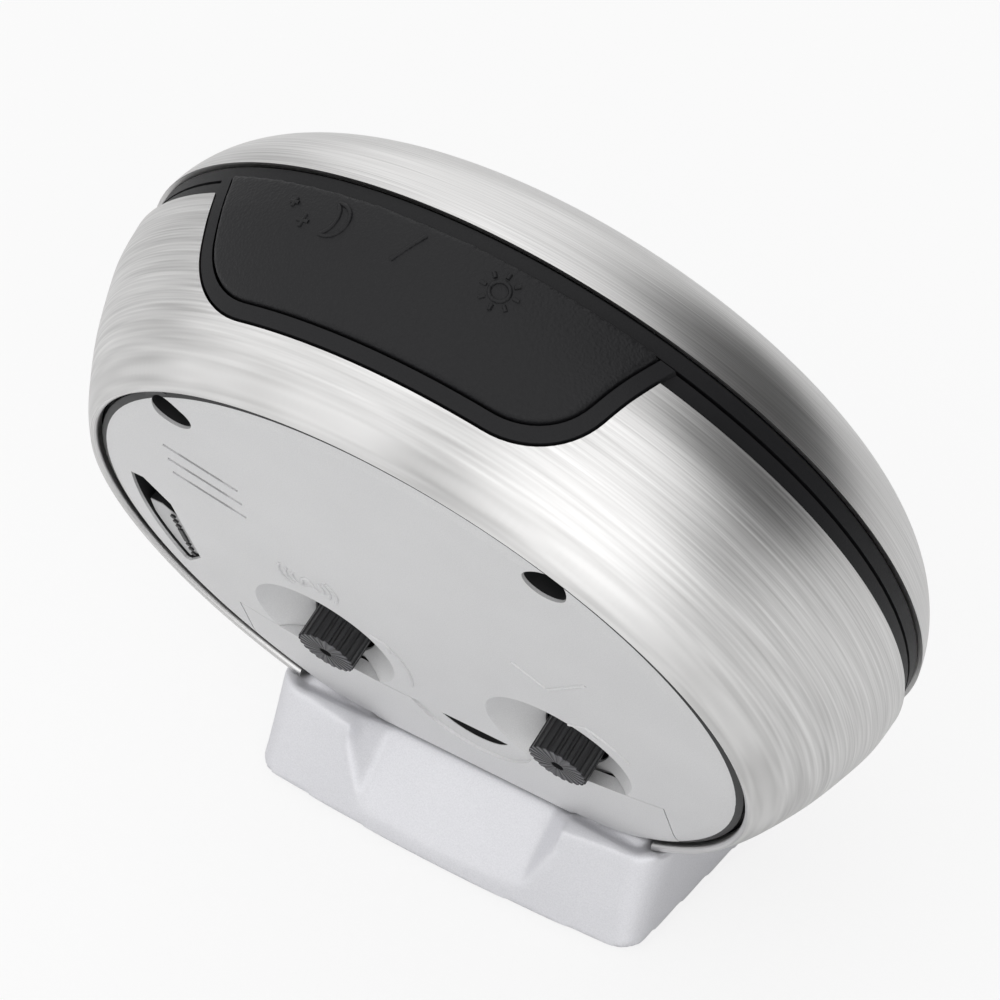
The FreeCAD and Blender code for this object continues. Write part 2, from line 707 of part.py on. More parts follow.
def make_battery_door():
    door = cover_blank(COVER_Y - DOOR_T).common(prism_y(door_outline(FIT_GAP), 0, 40))
    door = door.cut(prism_y(below_chord(), 0, 40))
    pocket_y = COVER_Y - NOTCH_DEPTH
    cup = cylinder(NOTCH_R + NOTCH_WALL, pocket_y - NOTCH_WALL, COVER_Y - DOOR_T + 0.2, NOTCH_X, NOTCH_Z)
    door = door.fuse(cup.common(box(-60, 60, 0, 40, -60, DOOR_TOP_Z - 2 * SHOW_GAP)))
    door = door.cut(cylinder(NOTCH_RIM_R, COVER_Y - NOTCH_RIM_DROP, COVER_Y + 1, NOTCH_X, NOTCH_Z))
    door = door.cut(cylinder(NOTCH_R, pocket_y, COVER_Y + 1, NOTCH_X, NOTCH_Z))
    for x in (-KNOB_X, KNOB_X):
        door = door.cut(cylinder(KNOB_HOLE_R, 0, 40, x, KNOB_Z))
    tab = box(-60, 60, 0, 40, CHORD_TAB_Z - 1, hinge_z)
    barrel = Part.makeCylinder(DOOR_T / 2, 120.0, Vector(-60, hinge_y, hinge_z), Vector(1, 0, 0))
    keep("battery_door", door.cut(tab.cut(barrel)))


def door_sweep():
    """The space over the foot that the door and its rounded lower edge pass through as it opens."""
    line_below = [(-DOOR_HALF, -20.0), (DOOR_HALF, -20.0)] + chord_line(-SHOW_GAP)
    slab = prism_y(line_below, COVER_Y - DOOR_T - SHOW_GAP, COVER_Y + SHOW_GAP)
    slab = slab.cut(box(-60, 60, 0, 60, -60, hinge_z))
    reach = DOOR_T / 2 + SHOW_GAP
    hinge_end = Vector(-CHORD_STEP_X, hinge_y, hinge_z)
    sweep = Part.makeCylinder(reach, 2 * CHORD_STEP_X, hinge_end, Vector(1, 0, 0))
    for step in range(DOOR_STEPS + 1):
        turned_slab = slab.copy()
        angle = (DOOR_SWING + 1.0) * step / DOOR_STEPS
        turned_slab.rotate(Vector(0, hinge_y, hinge_z), Vector(-1, 0, 0), angle)
        sweep = sweep.fuse(turned_slab)
    return sweep


def helix_tube(radius, wire_r, turns, length):
    """A spring along +X from the origin: quarter-turn arcs of wire in one unbroken tube."""
    pitch = length / turns
    arcs = []
    points = []
    for step in range(int(turns * 4) + 1):
        angle = math.pi / 2 * step
        points.append(Vector(pitch * step / 4, radius * math.cos(angle), radius * math.sin(angle)))
    for step in range(len(points) - 1):
        angle = math.pi / 2 * (step + 0.5)
        middle = Vector(pitch * (step + 0.5) / 4, radius * math.cos(angle), radius * math.sin(angle))
        arcs.append(Part.Arc(points[step], middle, points[step + 1]).toShape())
    path = Part.Wire(arcs)
    start = Vector(0, radius, 0)
    tangent = arcs[0].tangentAt(arcs[0].FirstParameter)
    section = Part.Wire([Part.makeCircle(wire_r, start, tangent)])
    return path.makePipeShell([section], True, False)


def make_battery():
    left = -CELL_LENGTH / 2 + SPRING_LENGTH / 2
    body = Part.makeCylinder(CELL_R, CELL_LENGTH - CELL_NUB_H, Vector(left, CELL_Y, CELL_Z), Vector(1, 0, 0))
    nub_x = left + CELL_LENGTH - CELL_NUB_H
    nub = Part.makeCylinder(CELL_NUB_R, CELL_NUB_H, Vector(nub_x, CELL_Y, CELL_Z), Vector(1, 0, 0))
    keep("battery", body.fuse(nub))
    end = CELL_LENGTH / 2 + SPRING_LENGTH / 2 + CONTACT_T
    half = CONTACT_H / 2
    plus = box(end - CONTACT_T, end, CELL_Y - half, CELL_Y + half, CELL_Z - half, CELL_Z + half)
    minus = box(-end, -end + CONTACT_T, CELL_Y - half, CELL_Y + half, CELL_Z - half, CELL_Z + half)
    keep("battery_contact_plus", plus)
    keep("battery_contact_minus", minus)
    reach = left - (-end + CONTACT_T) - 2 * SPRING_WIRE_R - 2 * 0.02
    spring = helix_tube(SPRING_R, SPRING_WIRE_R, SPRING_TURNS, reach)
    spring.translate(Vector(-end + CONTACT_T + SPRING_WIRE_R + 0.02, CELL_Y, CELL_Z))
    keep("battery_spring", spring)
    least = reach / SPRING_TURNS - 2 * SPRING_WIRE_R
    print("battery spring: least gap between curls %.2f mm" % least)


def make_button():
    outline = prism_z(button_outline(0.0, BUTTON_Y0), 20.0, 60.0)
    cap = barrel_solid(BUTTON_PROUD, BUTTON_Y0, BUTTON_Y1 + 1).cut(
        barrel_solid(BUTTON_PROUD - BUTTON_T, BUTTON_Y0 - 1, BUTTON_Y1 + 2))
    button = cap.common(outline)
    middle = (BUTTON_Y0 + BUTTON_Y1) / 2 - 0.6
    key_top = SNOOZE_BOARD_Z + SNOOZE_BOARD_T + SNOOZE_KEY_H
    plunger_end = key_top + SNOOZE_CAP_H + BUTTON_TRAVEL + FIT_GAP
    plunger = box(-PLUNGER_HALF, PLUNGER_HALF, middle - PLUNGER_HALF, middle + PLUNGER_HALF, plunger_end,
                  CASE_R - BUTTON_T)
    legs = [box(x - BUTTON_LEG_W / 2, x + BUTTON_LEG_W / 2, middle - BUTTON_LEG_HALF,
                middle + BUTTON_LEG_HALF, BUTTON_LEG_END, BUTTON_LEG_TOP)
            for x in (-BUTTON_LEG_X, BUTTON_LEG_X)]
    keep("snooze_button", button.fuse(legs + [plunger]).removeSplitter())
    keep("button_board", box(-SNOOZE_BOARD_HALF, SNOOZE_BOARD_HALF, floor_y1 + SHOW_GAP, BUTTON_Y1,
                             SNOOZE_BOARD_Z, SNOOZE_BOARD_Z + SNOOZE_BOARD_T))
    base = box(-SNOOZE_KEY_HALF, SNOOZE_KEY_HALF, middle - SNOOZE_KEY_HALF, middle + SNOOZE_KEY_HALF,
               SNOOZE_BOARD_Z + SNOOZE_BOARD_T, key_top)
    key_cap = Part.makeCylinder(SNOOZE_CAP_R, SNOOZE_CAP_H, Vector(0, middle, key_top))
    keep("snooze_switch", base.fuse(key_cap))


def make_alarm_switch():
    low = SWITCH_Z0 + FIT_GAP
    high = low + SWITCH_LENGTH
    floor = COVER_Y - SWITCH_DEPTH
    top = COVER_Y - SWITCH_TOP_DROP
    at_rest = switch_recess(SWITCH_PLAY, low, high, floor + FIT_GAP, top, SWITCH_CUT_LOW)
    pushed = switch_recess(SWITCH_PLAY, low + SWITCH_TRAVEL, high + SWITCH_TRAVEL, floor + FIT_GAP, top,
                           SWITCH_CUT_LOW)
    pushed.translate(Vector(0, 0, -SWITCH_TRAVEL))
    slide = at_rest.common(pushed)
    middle_z = (low + high) / 2
    middle_x = (SWITCH_X0 + math.sqrt(SWITCH_R ** 2 - low ** 2)) / 2
    marks = [box(middle_x - SWITCH_BAR_W / 2, middle_x + SWITCH_BAR_W / 2, top - 0.2, top + SWITCH_MARK_H,
                 middle_z - SWITCH_BAR_L / 2, middle_z + SWITCH_BAR_L / 2)]
    for side in (-1, 1):
        for index in range(SWITCH_STUDS):
            z = middle_z + side * (SWITCH_BAR_L / 2 + (index + 0.6) * SWITCH_STUD_PITCH)
            marks.append(cylinder(SWITCH_STUD_R, top - 0.2, top + SWITCH_MARK_H, middle_x, z))
    keep("alarm_switch", slide.fuse(marks))
    block = box(SWITCH_X0 - 0.7, SWITCH_X0 + 3.8, floor - 1.0 - SWITCH_BLOCK_T, floor - 1.0,
                SWITCH_Z0 + 3, SWITCH_Z1 - 3)
    keep("alarm_switch_contacts", block)


def make_buzzer():
    keep("buzzer", cylinder(BUZZER_R, cover_inner_y - BUZZER_T, cover_inner_y, SLOT_X - 0.6, SLOT_Z - 4.0))


def make_cover_screws():
    screws = []
    for x, z in screw_points():
        head = cylinder(COVER_SCREW_HEAD_R, screw_seat_y, screw_seat_y + COVER_SCREW_HEAD_H, x, z)
        shank = cylinder(COVER_SCREW_R - 0.1, screw_seat_y - COVER_SCREW_LENGTH + 1, screw_seat_y, x, z)
        slot = box(x - 1.4, x + 1.4, screw_seat_y + 0.8, screw_seat_y + 3, z - 0.25, z + 0.25)
        cross = box(x - 0.25, x + 0.25, screw_seat_y + 0.8, screw_seat_y + 3, z - 1.4, z + 1.4)
        screws.append(head.fuse(shank).cut(slot).cut(cross))
    keep("cover_screws", Part.Compound(screws))


# Setting knobs
def make_knob(x, gear_y, teeth, module, phase):
    knob = cylinder(KNOB_R, knob_start_y, knob_end_y, x, KNOB_Z)
    flutes = []
    for index in range(KNOB_FLUTES):
        spot = polar(KNOB_R, 360.0 * index / KNOB_FLUTES, (x, KNOB_Z))
        flutes.append(cylinder(KNOB_FLUTE_R, knob_start_y - 1, knob_end_y + 1, spot[0], spot[1]))
    eye = cylinder(KNOB_EYE_R, knob_end_y - KNOB_EYE_DEPTH, knob_end_y + 1, x, KNOB_Z)
    knob = knob.cut(flutes).cut(eye)
    shaft = cylinder(SHAFT_R, gear_y, knob_start_y, x, KNOB_Z)
    pivot = cylinder(SHAFT_PIVOT_R, floor_y1 + 0.1, gear_y, x, KNOB_Z)
    wheel = gear(teeth, module, gear_y, gear_y + GEAR_T, (x, KNOB_Z), phase)
    return knob.fuse([shaft, pivot, wheel])


def hand(length, width, tail, tip_width, y, bore, hub_r, degrees, skeleton=0.0):
    """A flat hand pointing at a clock angle, counted clockwise from the top seen from the front."""
    points = [(-width / 2, -tail), (width / 2, -tail), (width / 2, length * 0.72), (tip_width / 2, length),
              (-tip_width / 2, length), (-width / 2, length * 0.72)]
    blade = prism_y(points, y - HAND_T, y)
    if skeleton:
        half = width / 2 - skeleton
        blade = blade.cut(prism_y([(-half, length * 0.35), (half, length * 0.35), (half, length * 0.7),
                                   (-half, length * 0.7)], y - 2, y + 1))
    blade = blade.fuse(cylinder(hub_r, y - HAND_T - 0.15, y)).cut(cylinder(bore, y - 3, y + 3))
    blade.rotate(Vector(0, 0, 0), Vector(0, 1, 0), degrees)
    return blade


def make_clockwork():
    centre = (0.0, 0.0)
    time_knob = (-KNOB_X, KNOB_Z)
    alarm_knob = (KNOB_X, KNOB_Z)
    towards_time = math.degrees(math.atan2(KNOB_Z, -KNOB_X))
    alarm_module = 2 * knob_reach / (ALARM_TEETH + ALARM_KNOB_TEETH)
    set_module = 2 * knob_reach / (CANNON_TEETH + 2 * IDLER_TEETH + TIME_KNOB_TEETH)
    idler_reach = set_module * (CANNON_TEETH + IDLER_TEETH) / 2
    hour_module = 2 * idler_reach / (HOUR_TEETH + IDLER_PINION_TEETH)
    idler = polar(idler_reach, towards_time)
    front = floor_y1 + PLATE_T

    alarm_phase = mesh_phase(ALARM_TEETH, 0.0, centre, ALARM_KNOB_TEETH, alarm_knob)
    keep("alarm_knob", make_knob(KNOB_X, LAYER_ALARM, ALARM_KNOB_TEETH, alarm_module, alarm_phase))
    idler_phase = mesh_phase(CANNON_TEETH, 0.0, centre, IDLER_TEETH, idler)
    knob_phase = mesh_phase(IDLER_TEETH, idler_phase, idler, TIME_KNOB_TEETH, time_knob)
    keep("time_knob", make_knob(-KNOB_X, LAYER_MINUTE, TIME_KNOB_TEETH, set_module, knob_phase))

    idler_wheel = gear(IDLER_TEETH, set_module, LAYER_MINUTE, LAYER_MINUTE + GEAR_T, idler, idler_phase)
    pinion_phase = mesh_phase(HOUR_TEETH, 0.0, centre, IDLER_PINION_TEETH, idler)
    idler_pinion = gear(IDLER_PINION_TEETH, hour_module, LAYER_HOUR, LAYER_MINUTE, idler, pinion_phase)
    bore = cylinder(PIN_R + RUN_GAP, 0, 10, idler[0], idler[1])
    keep("setting_wheel", idler_wheel.fuse(idler_pinion).cut(bore))

    hands_y = [ALARM_HAND_Y - index * HAND_STEP for index in range(4)]
    alarm_angle = SHOWN_ALARM * 30.0
    hour_angle = SHOWN_HOUR * 30.0 + SHOWN_MINUTE * 0.5
    minute_angle = SHOWN_MINUTE * 6.0
    second_angle = SHOWN_SECOND * 6.0

    alarm_tube = tube(ALARM_TUBE_R, HOUR_TUBE_R + RUN_GAP, hands_y[0] - HAND_T, LAYER_ALARM + GEAR_T)
    alarm_wheel = gear(ALARM_TEETH, alarm_module, LAYER_ALARM, LAYER_ALARM + GEAR_T, centre, 0.0,
                       HOUR_TUBE_R + RUN_GAP)
    alarm_hand = hand(ALARM_HAND_LENGTH, ALARM_HAND_W, ALARM_HAND_TAIL, ALARM_HAND_TIP, hands_y[0],
                      HOUR_TUBE_R + RUN_GAP, HUB_R, alarm_angle)
    keep("alarm_hand", alarm_hand.fuse([alarm_tube, alarm_wheel]))

    hour_tube = tube(HOUR_TUBE_R, MINUTE_TUBE_R + RUN_GAP, hands_y[1] - HAND_T, LAYER_HOUR + GEAR_T)
    hour_wheel = gear(HOUR_TEETH, hour_module, LAYER_HOUR, LAYER_HOUR + GEAR_T, centre, 0.0,
                      MINUTE_TUBE_R + RUN_GAP)
    hour_hand = hand(HOUR_HAND_LENGTH, HOUR_HAND_W, HOUR_HAND_TAIL, HOUR_HAND_TIP, hands_y[1],
                     MINUTE_TUBE_R + RUN_GAP, HUB_R, hour_angle, HOUR_HAND_RIM)
    keep("hour_hand", hour_hand.fuse([hour_tube, hour_wheel]))

    minute_tube = tube(MINUTE_TUBE_R, SECOND_ARBOR_R + RUN_GAP, hands_y[2] - HAND_T, LAYER_CENTRE + GEAR_T)
    cannon = gear(CANNON_TEETH, set_module, LAYER_MINUTE, LAYER_MINUTE + GEAR_T, centre, 0.0,
                  SECOND_ARBOR_R + RUN_GAP)
    collar = tube(MINUTE_TUBE_R + 0.6, SECOND_ARBOR_R + RUN_GAP, LAYER_MINUTE + GEAR_T, LAYER_CENTRE - 0.1)
    minute_hand = hand(MINUTE_HAND_LENGTH, MINUTE_HAND_W, MINUTE_HAND_TAIL, MINUTE_HAND_TIP, hands_y[2],
                       SECOND_ARBOR_R + RUN_GAP, MINUTE_HUB_R, minute_angle, MINUTE_HAND_RIM)
    keep("minute_hand", minute_hand.fuse([minute_tube, cannon, collar]))

    second_arbor = cylinder(SECOND_ARBOR_R, hands_y[3] - HAND_T, MOVEMENT_Y1 - PLATE_T - 0.1)
    second_hand = hand(SECOND_HAND_LENGTH, SECOND_HAND_W, SECOND_HAND_TAIL, SECOND_HAND_TIP, hands_y[3],
                       RUN_GAP, SECOND_HUB_R, second_angle)
    second_hand = second_hand.fuse(cylinder(SECOND_HUB_R, hands_y[3] - HAND_T, hands_y[3]))
    third = polar(THIRD_DISTANCE, THIRD_ANGLE)
    step = polar(STEP_DISTANCE, STEP_ANGLE)
    rotor = polar(ROTOR_DISTANCE, ROTOR_ANGLE, step)
    third_module = 2 * THIRD_DISTANCE / (THIRD_TEETH + SECOND_PINION_TEETH)
    centre_module = 2 * THIRD_DISTANCE / (CENTRE_TEETH + THIRD_PINION_TEETH)
    second_module = 2 * STEP_DISTANCE / (SECOND_TEETH + STEP_PINION_TEETH)
    step_module = 2 * ROTOR_DISTANCE / (STEP_TEETH + ROTOR_TEETH)
    second_wheel = gear(SECOND_TEETH, second_module, LAYER_SECOND, LAYER_SECOND + GEAR_T, centre, 0.0)
    second_pinion = gear(SECOND_PINION_TEETH, third_module, LAYER_THIRD, LAYER_SECOND, centre, 0.0)
    keep("second_hand", second_hand.fuse([second_arbor, second_wheel, second_pinion]))

    third_phase = mesh_phase(SECOND_PINION_TEETH, 0.0, centre, THIRD_TEETH, third)
    centre_phase = mesh_phase(THIRD_PINION_TEETH, 0.0, third, CENTRE_TEETH, centre)
    third_wheel = gear(THIRD_TEETH, third_module, LAYER_THIRD, LAYER_THIRD + GEAR_T, third, third_phase)
    third_pinion = gear(THIRD_PINION_TEETH, centre_module, LAYER_CENTRE, LAYER_THIRD, third, 0.0)
    third_bore = cylinder(PIN_R + RUN_GAP, 0, 20, third[0], third[1])
    keep("third_wheel", third_wheel.fuse(third_pinion).cut(third_bore))
    keep("centre_wheel", gear(CENTRE_TEETH, centre_module, LAYER_CENTRE, LAYER_CENTRE + GEAR_T, centre,
                              centre_phase, MINUTE_TUBE_R + RUN_GAP))

    step_pinion_phase = mesh_phase(SECOND_TEETH, 0.0, centre, STEP_PINION_TEETH, step)
    step_pinion = gear(STEP_PINION_TEETH, second_module, LAYER_SECOND, LAYER_ROTOR, step, step_pinion_phase)
    step_wheel = gear(STEP_TEETH, step_module, LAYER_ROTOR, LAYER_ROTOR + GEAR_T, step, 0.0)
    step_bore = cylinder(PIN_R + RUN_GAP, 0, 20, step[0], step[1])
    keep("step_wheel", step_wheel.fuse(step_pinion).cut(step_bore))
    rotor_phase = mesh_phase(STEP_TEETH, 0.0, step, ROTOR_TEETH, rotor)
    rotor_pinion = gear(ROTOR_TEETH, step_module, LAYER_ROTOR - 0.2, LAYER_ROTOR + GEAR_T, rotor,
                        rotor_phase)
    magnet = cylinder(MAGNET_R, LAYER_THIRD + 0.4, LAYER_ROTOR - 0.2, rotor[0], rotor[1])
    rotor_pin = cylinder(ROTOR_PIN_R, LAYER_THIRD - 0.4, MOVEMENT_Y1 - PLATE_T - 0.1, rotor[0], rotor[1])
    keep("rotor", rotor_pinion.fuse([magnet, rotor_pin]))

    make_movement_case(idler, third, step, rotor, front)


def make_movement_case(idler, third, step, rotor, front):
    plate = box(-PLATE_HALF, PLATE_HALF, floor_y1, front, PLATE_FOOT, PLATE_TOP)
    plate = plate.cut(cylinder(ALARM_TUBE_R + RUN_GAP, -5, 5))
    stem = tube(STEM_R, ALARM_TUBE_R + RUN_GAP, dial_y0 + 0.1, floor_y1)
    plate = plate.fuse(stem)
    for x in (-KNOB_X, KNOB_X):
        plate = plate.cut(cylinder(SHAFT_PIVOT_R + RUN_GAP, -5, 5, x, KNOB_Z))
    keep("movement_front_plate", plate)

    rear_y0 = MOVEMENT_Y1 - PLATE_T
    case = box(-PLATE_HALF, PLATE_HALF, front, MOVEMENT_Y1, MOVEMENT_FLOOR_Z, PLATE_TOP)
    hollow = box(-PLATE_HALF + 1, PLATE_HALF - 1, front - 1, rear_y0, MOVEMENT_FLOOR_Z + 1, PLATE_TOP - 1)
    case = case.cut(hollow)
    gear_door = box(-PLATE_HALF + 1, PLATE_HALF - 1, front - 1, LAYER_MINUTE + GEAR_T + 0.5,
                    MOVEMENT_FLOOR_Z - 1, MOVEMENT_FLOOR_Z + 2)
    case = case.cut(gear_door)
    posts = [cylinder(PIN_R, LAYER_HOUR, rear_y0, idler[0], idler[1]),
             cylinder(PIN_R, LAYER_CENTRE, rear_y0, third[0], third[1]),
             cylinder(PIN_R, LAYER_SECOND, rear_y0, step[0], step[1])]
    case = case.fuse(posts)
    for x in (-KNOB_X, KNOB_X):
        case = case.cut(cylinder(SHAFT_R + RUN_GAP, rear_y0 - 1, MOVEMENT_Y1 + 1, x, KNOB_Z))
        notch = SHAFT_R + SHOW_GAP
        case = case.cut(box(x - notch, x + notch, front, rear_y0, MOVEMENT_FLOOR_Z - 1,
                            MOVEMENT_FLOOR_Z + 2))
    case = case.cut(cylinder(SECOND_ARBOR_R + RUN_GAP, rear_y0 - 0.5, rear_y0 + 0.6))
    case = case.cut(cylinder(ROTOR_PIN_R + RUN_GAP, rear_y0 - 0.5, rear_y0 + 0.6, rotor[0], rotor[1]))
    keep("movement_case", case)

    board = box(CIRCUIT_X0, CIRCUIT_X1, CIRCUIT_Y, rear_y0, CIRCUIT_Z0, CIRCUIT_Z1)
    board = board.cut(cylinder(PIN_R + SHOW_GAP, 0, 20, third[0], third[1]))
    keep("circuit_board", board)
    chip = box(CHIP_X, CHIP_X + CHIP_SIZE, CIRCUIT_Y - CHIP_T, CIRCUIT_Y, CHIP_Z, CHIP_Z + CHIP_SIZE)
    keep("driver_chip", chip)
    can = Part.makeCylinder(CRYSTAL_R, CRYSTAL_LENGTH, Vector(CRYSTAL_X, CIRCUIT_Y - CRYSTAL_R, CHIP_Z))
    keep("quartz_crystal", can)
    plate_z0 = rotor[1] - STATOR_HALF
    plate_z1 = rotor[1] + STATOR_HALF
    stator = box(STATOR_X0, STATOR_X1, STATOR_Y, STATOR_Y + GEAR_T, plate_z0, plate_z1)
    ears = [box(x, x + STATOR_EAR, STATOR_Y, STATOR_Y + GEAR_T, plate_z1, COIL_Z + CORE_HALF)
            for x in (STATOR_X0, STATOR_X1 - STATOR_EAR)]
    core = box(STATOR_X0, STATOR_X1, STATOR_Y + GEAR_T, STATOR_Y + GEAR_T + 2 * CORE_HALF,
               COIL_Z - CORE_HALF, COIL_Z + CORE_HALF)
    stator = stator.fuse(ears).cut(cylinder(MAGNET_R + SHOW_GAP, 0, 20, rotor[0], rotor[1]))
    keep("stator", stator.fuse(core))
    coil_y = STATOR_Y + GEAR_T + CORE_HALF
    coil_x0 = STATOR_X0 + STATOR_EAR + SHOW_GAP
    coil_length = STATOR_X1 - STATOR_X0 - 2 * STATOR_EAR - 2 * SHOW_GAP
    coil = Part.makeCylinder(COIL_R, coil_length, Vector(coil_x0, coil_y, COIL_Z), Vector(1, 0, 0))
    keep("stepper_coil", coil.cut(core))


# The foot, in the table's frame
def foot_ring(z, rear_y, sag, corner_x, side_rear, side_front_x):
    rear_side_x, rear_side_y = side_rear
    corner_y = rear_y - sag
    bulge = (corner_x + rear_side_x) / 2 + 0.9
    bulge_y = (corner_y + rear_side_y) / 2 + 0.9
    front_y = FOOT_FRONT_Y
    points = [Vector(-corner_x, corner_y, z), (Vector(0, rear_y, z), Vector(corner_x, corner_y, z)),
              (Vector(bulge, bulge_y, z), Vector(rear_side_x, rear_side_y, z)),
              Vector(side_front_x, front_y + 5.0, z),
              (Vector(side_front_x - 1.2, front_y + 1.2, z), Vector(FOOT_FRONT_X, front_y, z)),
              (Vector(0, front_y - FOOT_FRONT_SAG, z), Vector(-FOOT_FRONT_X, front_y, z)),
              (Vector(-side_front_x + 1.2, front_y + 1.2, z), Vector(-side_front_x, front_y + 5.0, z)),
              Vector(-rear_side_x, rear_side_y, z),
              (Vector(-bulge, bulge_y, z), Vector(-corner_x, corner_y, z))]
    return Part.Wire(edges_through(points))


def to_table(shape):
    """Leans a shape of the case back and lifts it to its height over the table."""
    moved = shape.copy()
    moved.rotate(Vector(0, 0, 0), Vector(1, 0, 0), -LEAN)
    moved.translate(case_pivot)
    return moved


def case_envelope(gap):
    """The case's outside as one turned solid, grown by a gap."""
    shell = barrel_solid(gap, shell_y0 - 6.0, shell_y1 + 0.2)
    nose = ry(BEZEL_NOSE_R + gap, -BEZEL_DEPTH - gap)
    edges = [Part.Arc(ry(CASE_R + gap, 0.5), ry(BEZEL_SHOULDER_R + gap, BEZEL_SHOULDER_Y), nose).toShape(),
             line(nose, ry(0, -BEZEL_DEPTH - gap)), line(ry(0, -BEZEL_DEPTH - gap), ry(0, 0.5)),
             line(ry(0, 0.5), ry(CASE_R + gap, 0.5))]
    return shell.fuse(revolve_edges(edges))


def make_foot():
    low = foot_ring(0.0, FOOT_REAR_Y, FOOT_REAR_SAG, FOOT_CORNER_X, (FOOT_SIDE_REAR_X, FOOT_SIDE_REAR_Y),
                    FOOT_SIDE_FRONT_X)
    high = foot_ring(FOOT_TOP, FOOT_TOP_REAR_Y, FOOT_TOP_REAR_Y - FOOT_TOP_CORNER_Y, FOOT_TOP_CORNER_X,
                     (FOOT_SIDE_REAR_X, FOOT_TOP_SIDE_Y), FOOT_SIDE_FRONT_X - 0.4)
    foot = Part.makeLoft([low, high], True, True)
    body = case_envelope(SHOW_GAP)
    neck = box(-CHORD_EDGE_X, CHORD_EDGE_X, NECK_Y, COVER_Y + 6, -60, -30)
    foot = foot.cut(to_table(body.cut(neck)))
    over = prism_y([(-CHORD_EDGE_X, -20.0), (CHORD_EDGE_X, -20.0)] + chord_line(-SHOW_GAP), NECK_Y - 1,
                   COVER_Y + 0.1)
    box_bottom = CELL_Z - CELL_R - BOX_CLEAR - BOX_WALL - SHOW_GAP
    under_box = box(-CHORD_EDGE_X, CHORD_EDGE_X, NECK_Y - 1, cover_inner_y, box_bottom, -20.0)
    foot = foot.cut(to_table(over)).cut(to_table(under_box)).cut(to_table(door_sweep()))
    slope_start = (FOOT_REAR_Y, TROUGH_LIP)
    slope_end = (to_table(Part.Vertex(0, COVER_Y, CHORD_TAB_Z)).Point.y, TROUGH_TOP_H)
    dy = slope_end[0] - slope_start[0]
    dz = slope_end[1] - slope_start[1]
    sections = []
    for factor in (-0.5, 2.0):
        y = slope_start[0] + dy * factor
        z = slope_start[1] + dz * factor
        nx, nz = dz, -dy
        size = math.hypot(nx, nz)
        up = Vector(0, nx / size, nz / size)
        origin = Vector(0, y, z)
        half_widths = [(TROUGH_FLOOR_HALF, 0.0), (TROUGH_HALF, TROUGH_SIDE_H),
                       (TROUGH_HALF + TROUGH_FLARE, TROUGH_REACH)]
        right = [origin + Vector(half, 0, 0) + up * height for half, height in half_widths]
        left = [origin + Vector(-half, 0, 0) + up * height for half, height in reversed(half_widths)]
        sections.append(Part.makePolygon([left[-1]] + right + left))
    trough = Part.makeLoft(sections, True, True)
    guard = to_table(box(-60, 60, -60, COVER_Y - 0.5, -60, 60))
    foot = foot.cut(trough.cut(guard))
    pads = []
    for x, y in PAD_PLACES:
        foot = foot.cut(Part.makeCylinder(PAD_R + FIT_GAP, PAD_SINK, Vector(x, y, 0)))
        pads.append(Part.makeCylinder(PAD_R, PAD_T, Vector(x, y, PAD_SINK - PAD_T)))
    for x in (-FOOT_SCREW_X, FOOT_SCREW_X):
        pilot = cylinder(FOOT_SCREW_R - 0.1, NECK_Y - 1, NECK_Y + FOOT_SCREW_LENGTH - WEB_T, x,
                         foot_screw_z())
        foot = foot.cut(to_table(pilot))
    table_nodes["foot"] = foot
    table_nodes["foot_pads"] = Part.Compound(pads)
    screws = []
    for x in (-FOOT_SCREW_X, FOOT_SCREW_X):
        head = cylinder(FOOT_SCREW_HEAD_R, NECK_Y - WEB_T - FOOT_SCREW_HEAD_H, NECK_Y - WEB_T, x,
                        foot_screw_z())
        shank = cylinder(FOOT_SCREW_R - 0.1, NECK_Y - WEB_T, NECK_Y + FOOT_SCREW_LENGTH - WEB_T - 1, x,
                         foot_screw_z())
        screws.append(head.fuse(shank))
    keep("foot_screws", Part.Compound(screws))


make_front_bezel()
make_face()
make_front_housing()
make_rear_housing()
make_rear_shell()
make_rear_cover()
make_battery_door()
make_battery()
make_button()
make_alarm_switch()
make_buzzer()
make_cover_screws()
make_clockwork()
make_foot()

placed = {name: to_table(shape) for name, shape in nodes.items()}
placed.update(table_nodes)
whole = Part.Compound(list(placed.values()))
bounds = whole.optimalBoundingBox(False)
shift = Vector(-(bounds.XMin + bounds.XMax) / 2, -(bounds.YMin + bounds.YMax) / 2, -bounds.ZMin)
os.makedirs("parts", exist_ok=True)
for name, shape in placed.items():
    shape.translate(shift)
    shape.exportStep("parts/%s.step" % name)
    if not shape.isValid() or shape.Volume <= 0:
        print("check", name, shape.isValid(), shape.Volume)
print("size %.1f x %.1f x %.1f mm" % (bounds.XLength, bounds.YLength, bounds.ZLength))
print("case axis point", case_pivot + shift)
print("solids", {name: len(shape.Solids) for name, shape in placed.items() if len(shape.Solids) != 1})
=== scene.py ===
import json
import logging
import math
from dataclasses import dataclass, field
from enum import Enum
from typing import Any, Iterable, Mapping, Sequence

import bmesh
import bpy
from mathutils import Matrix, Vector


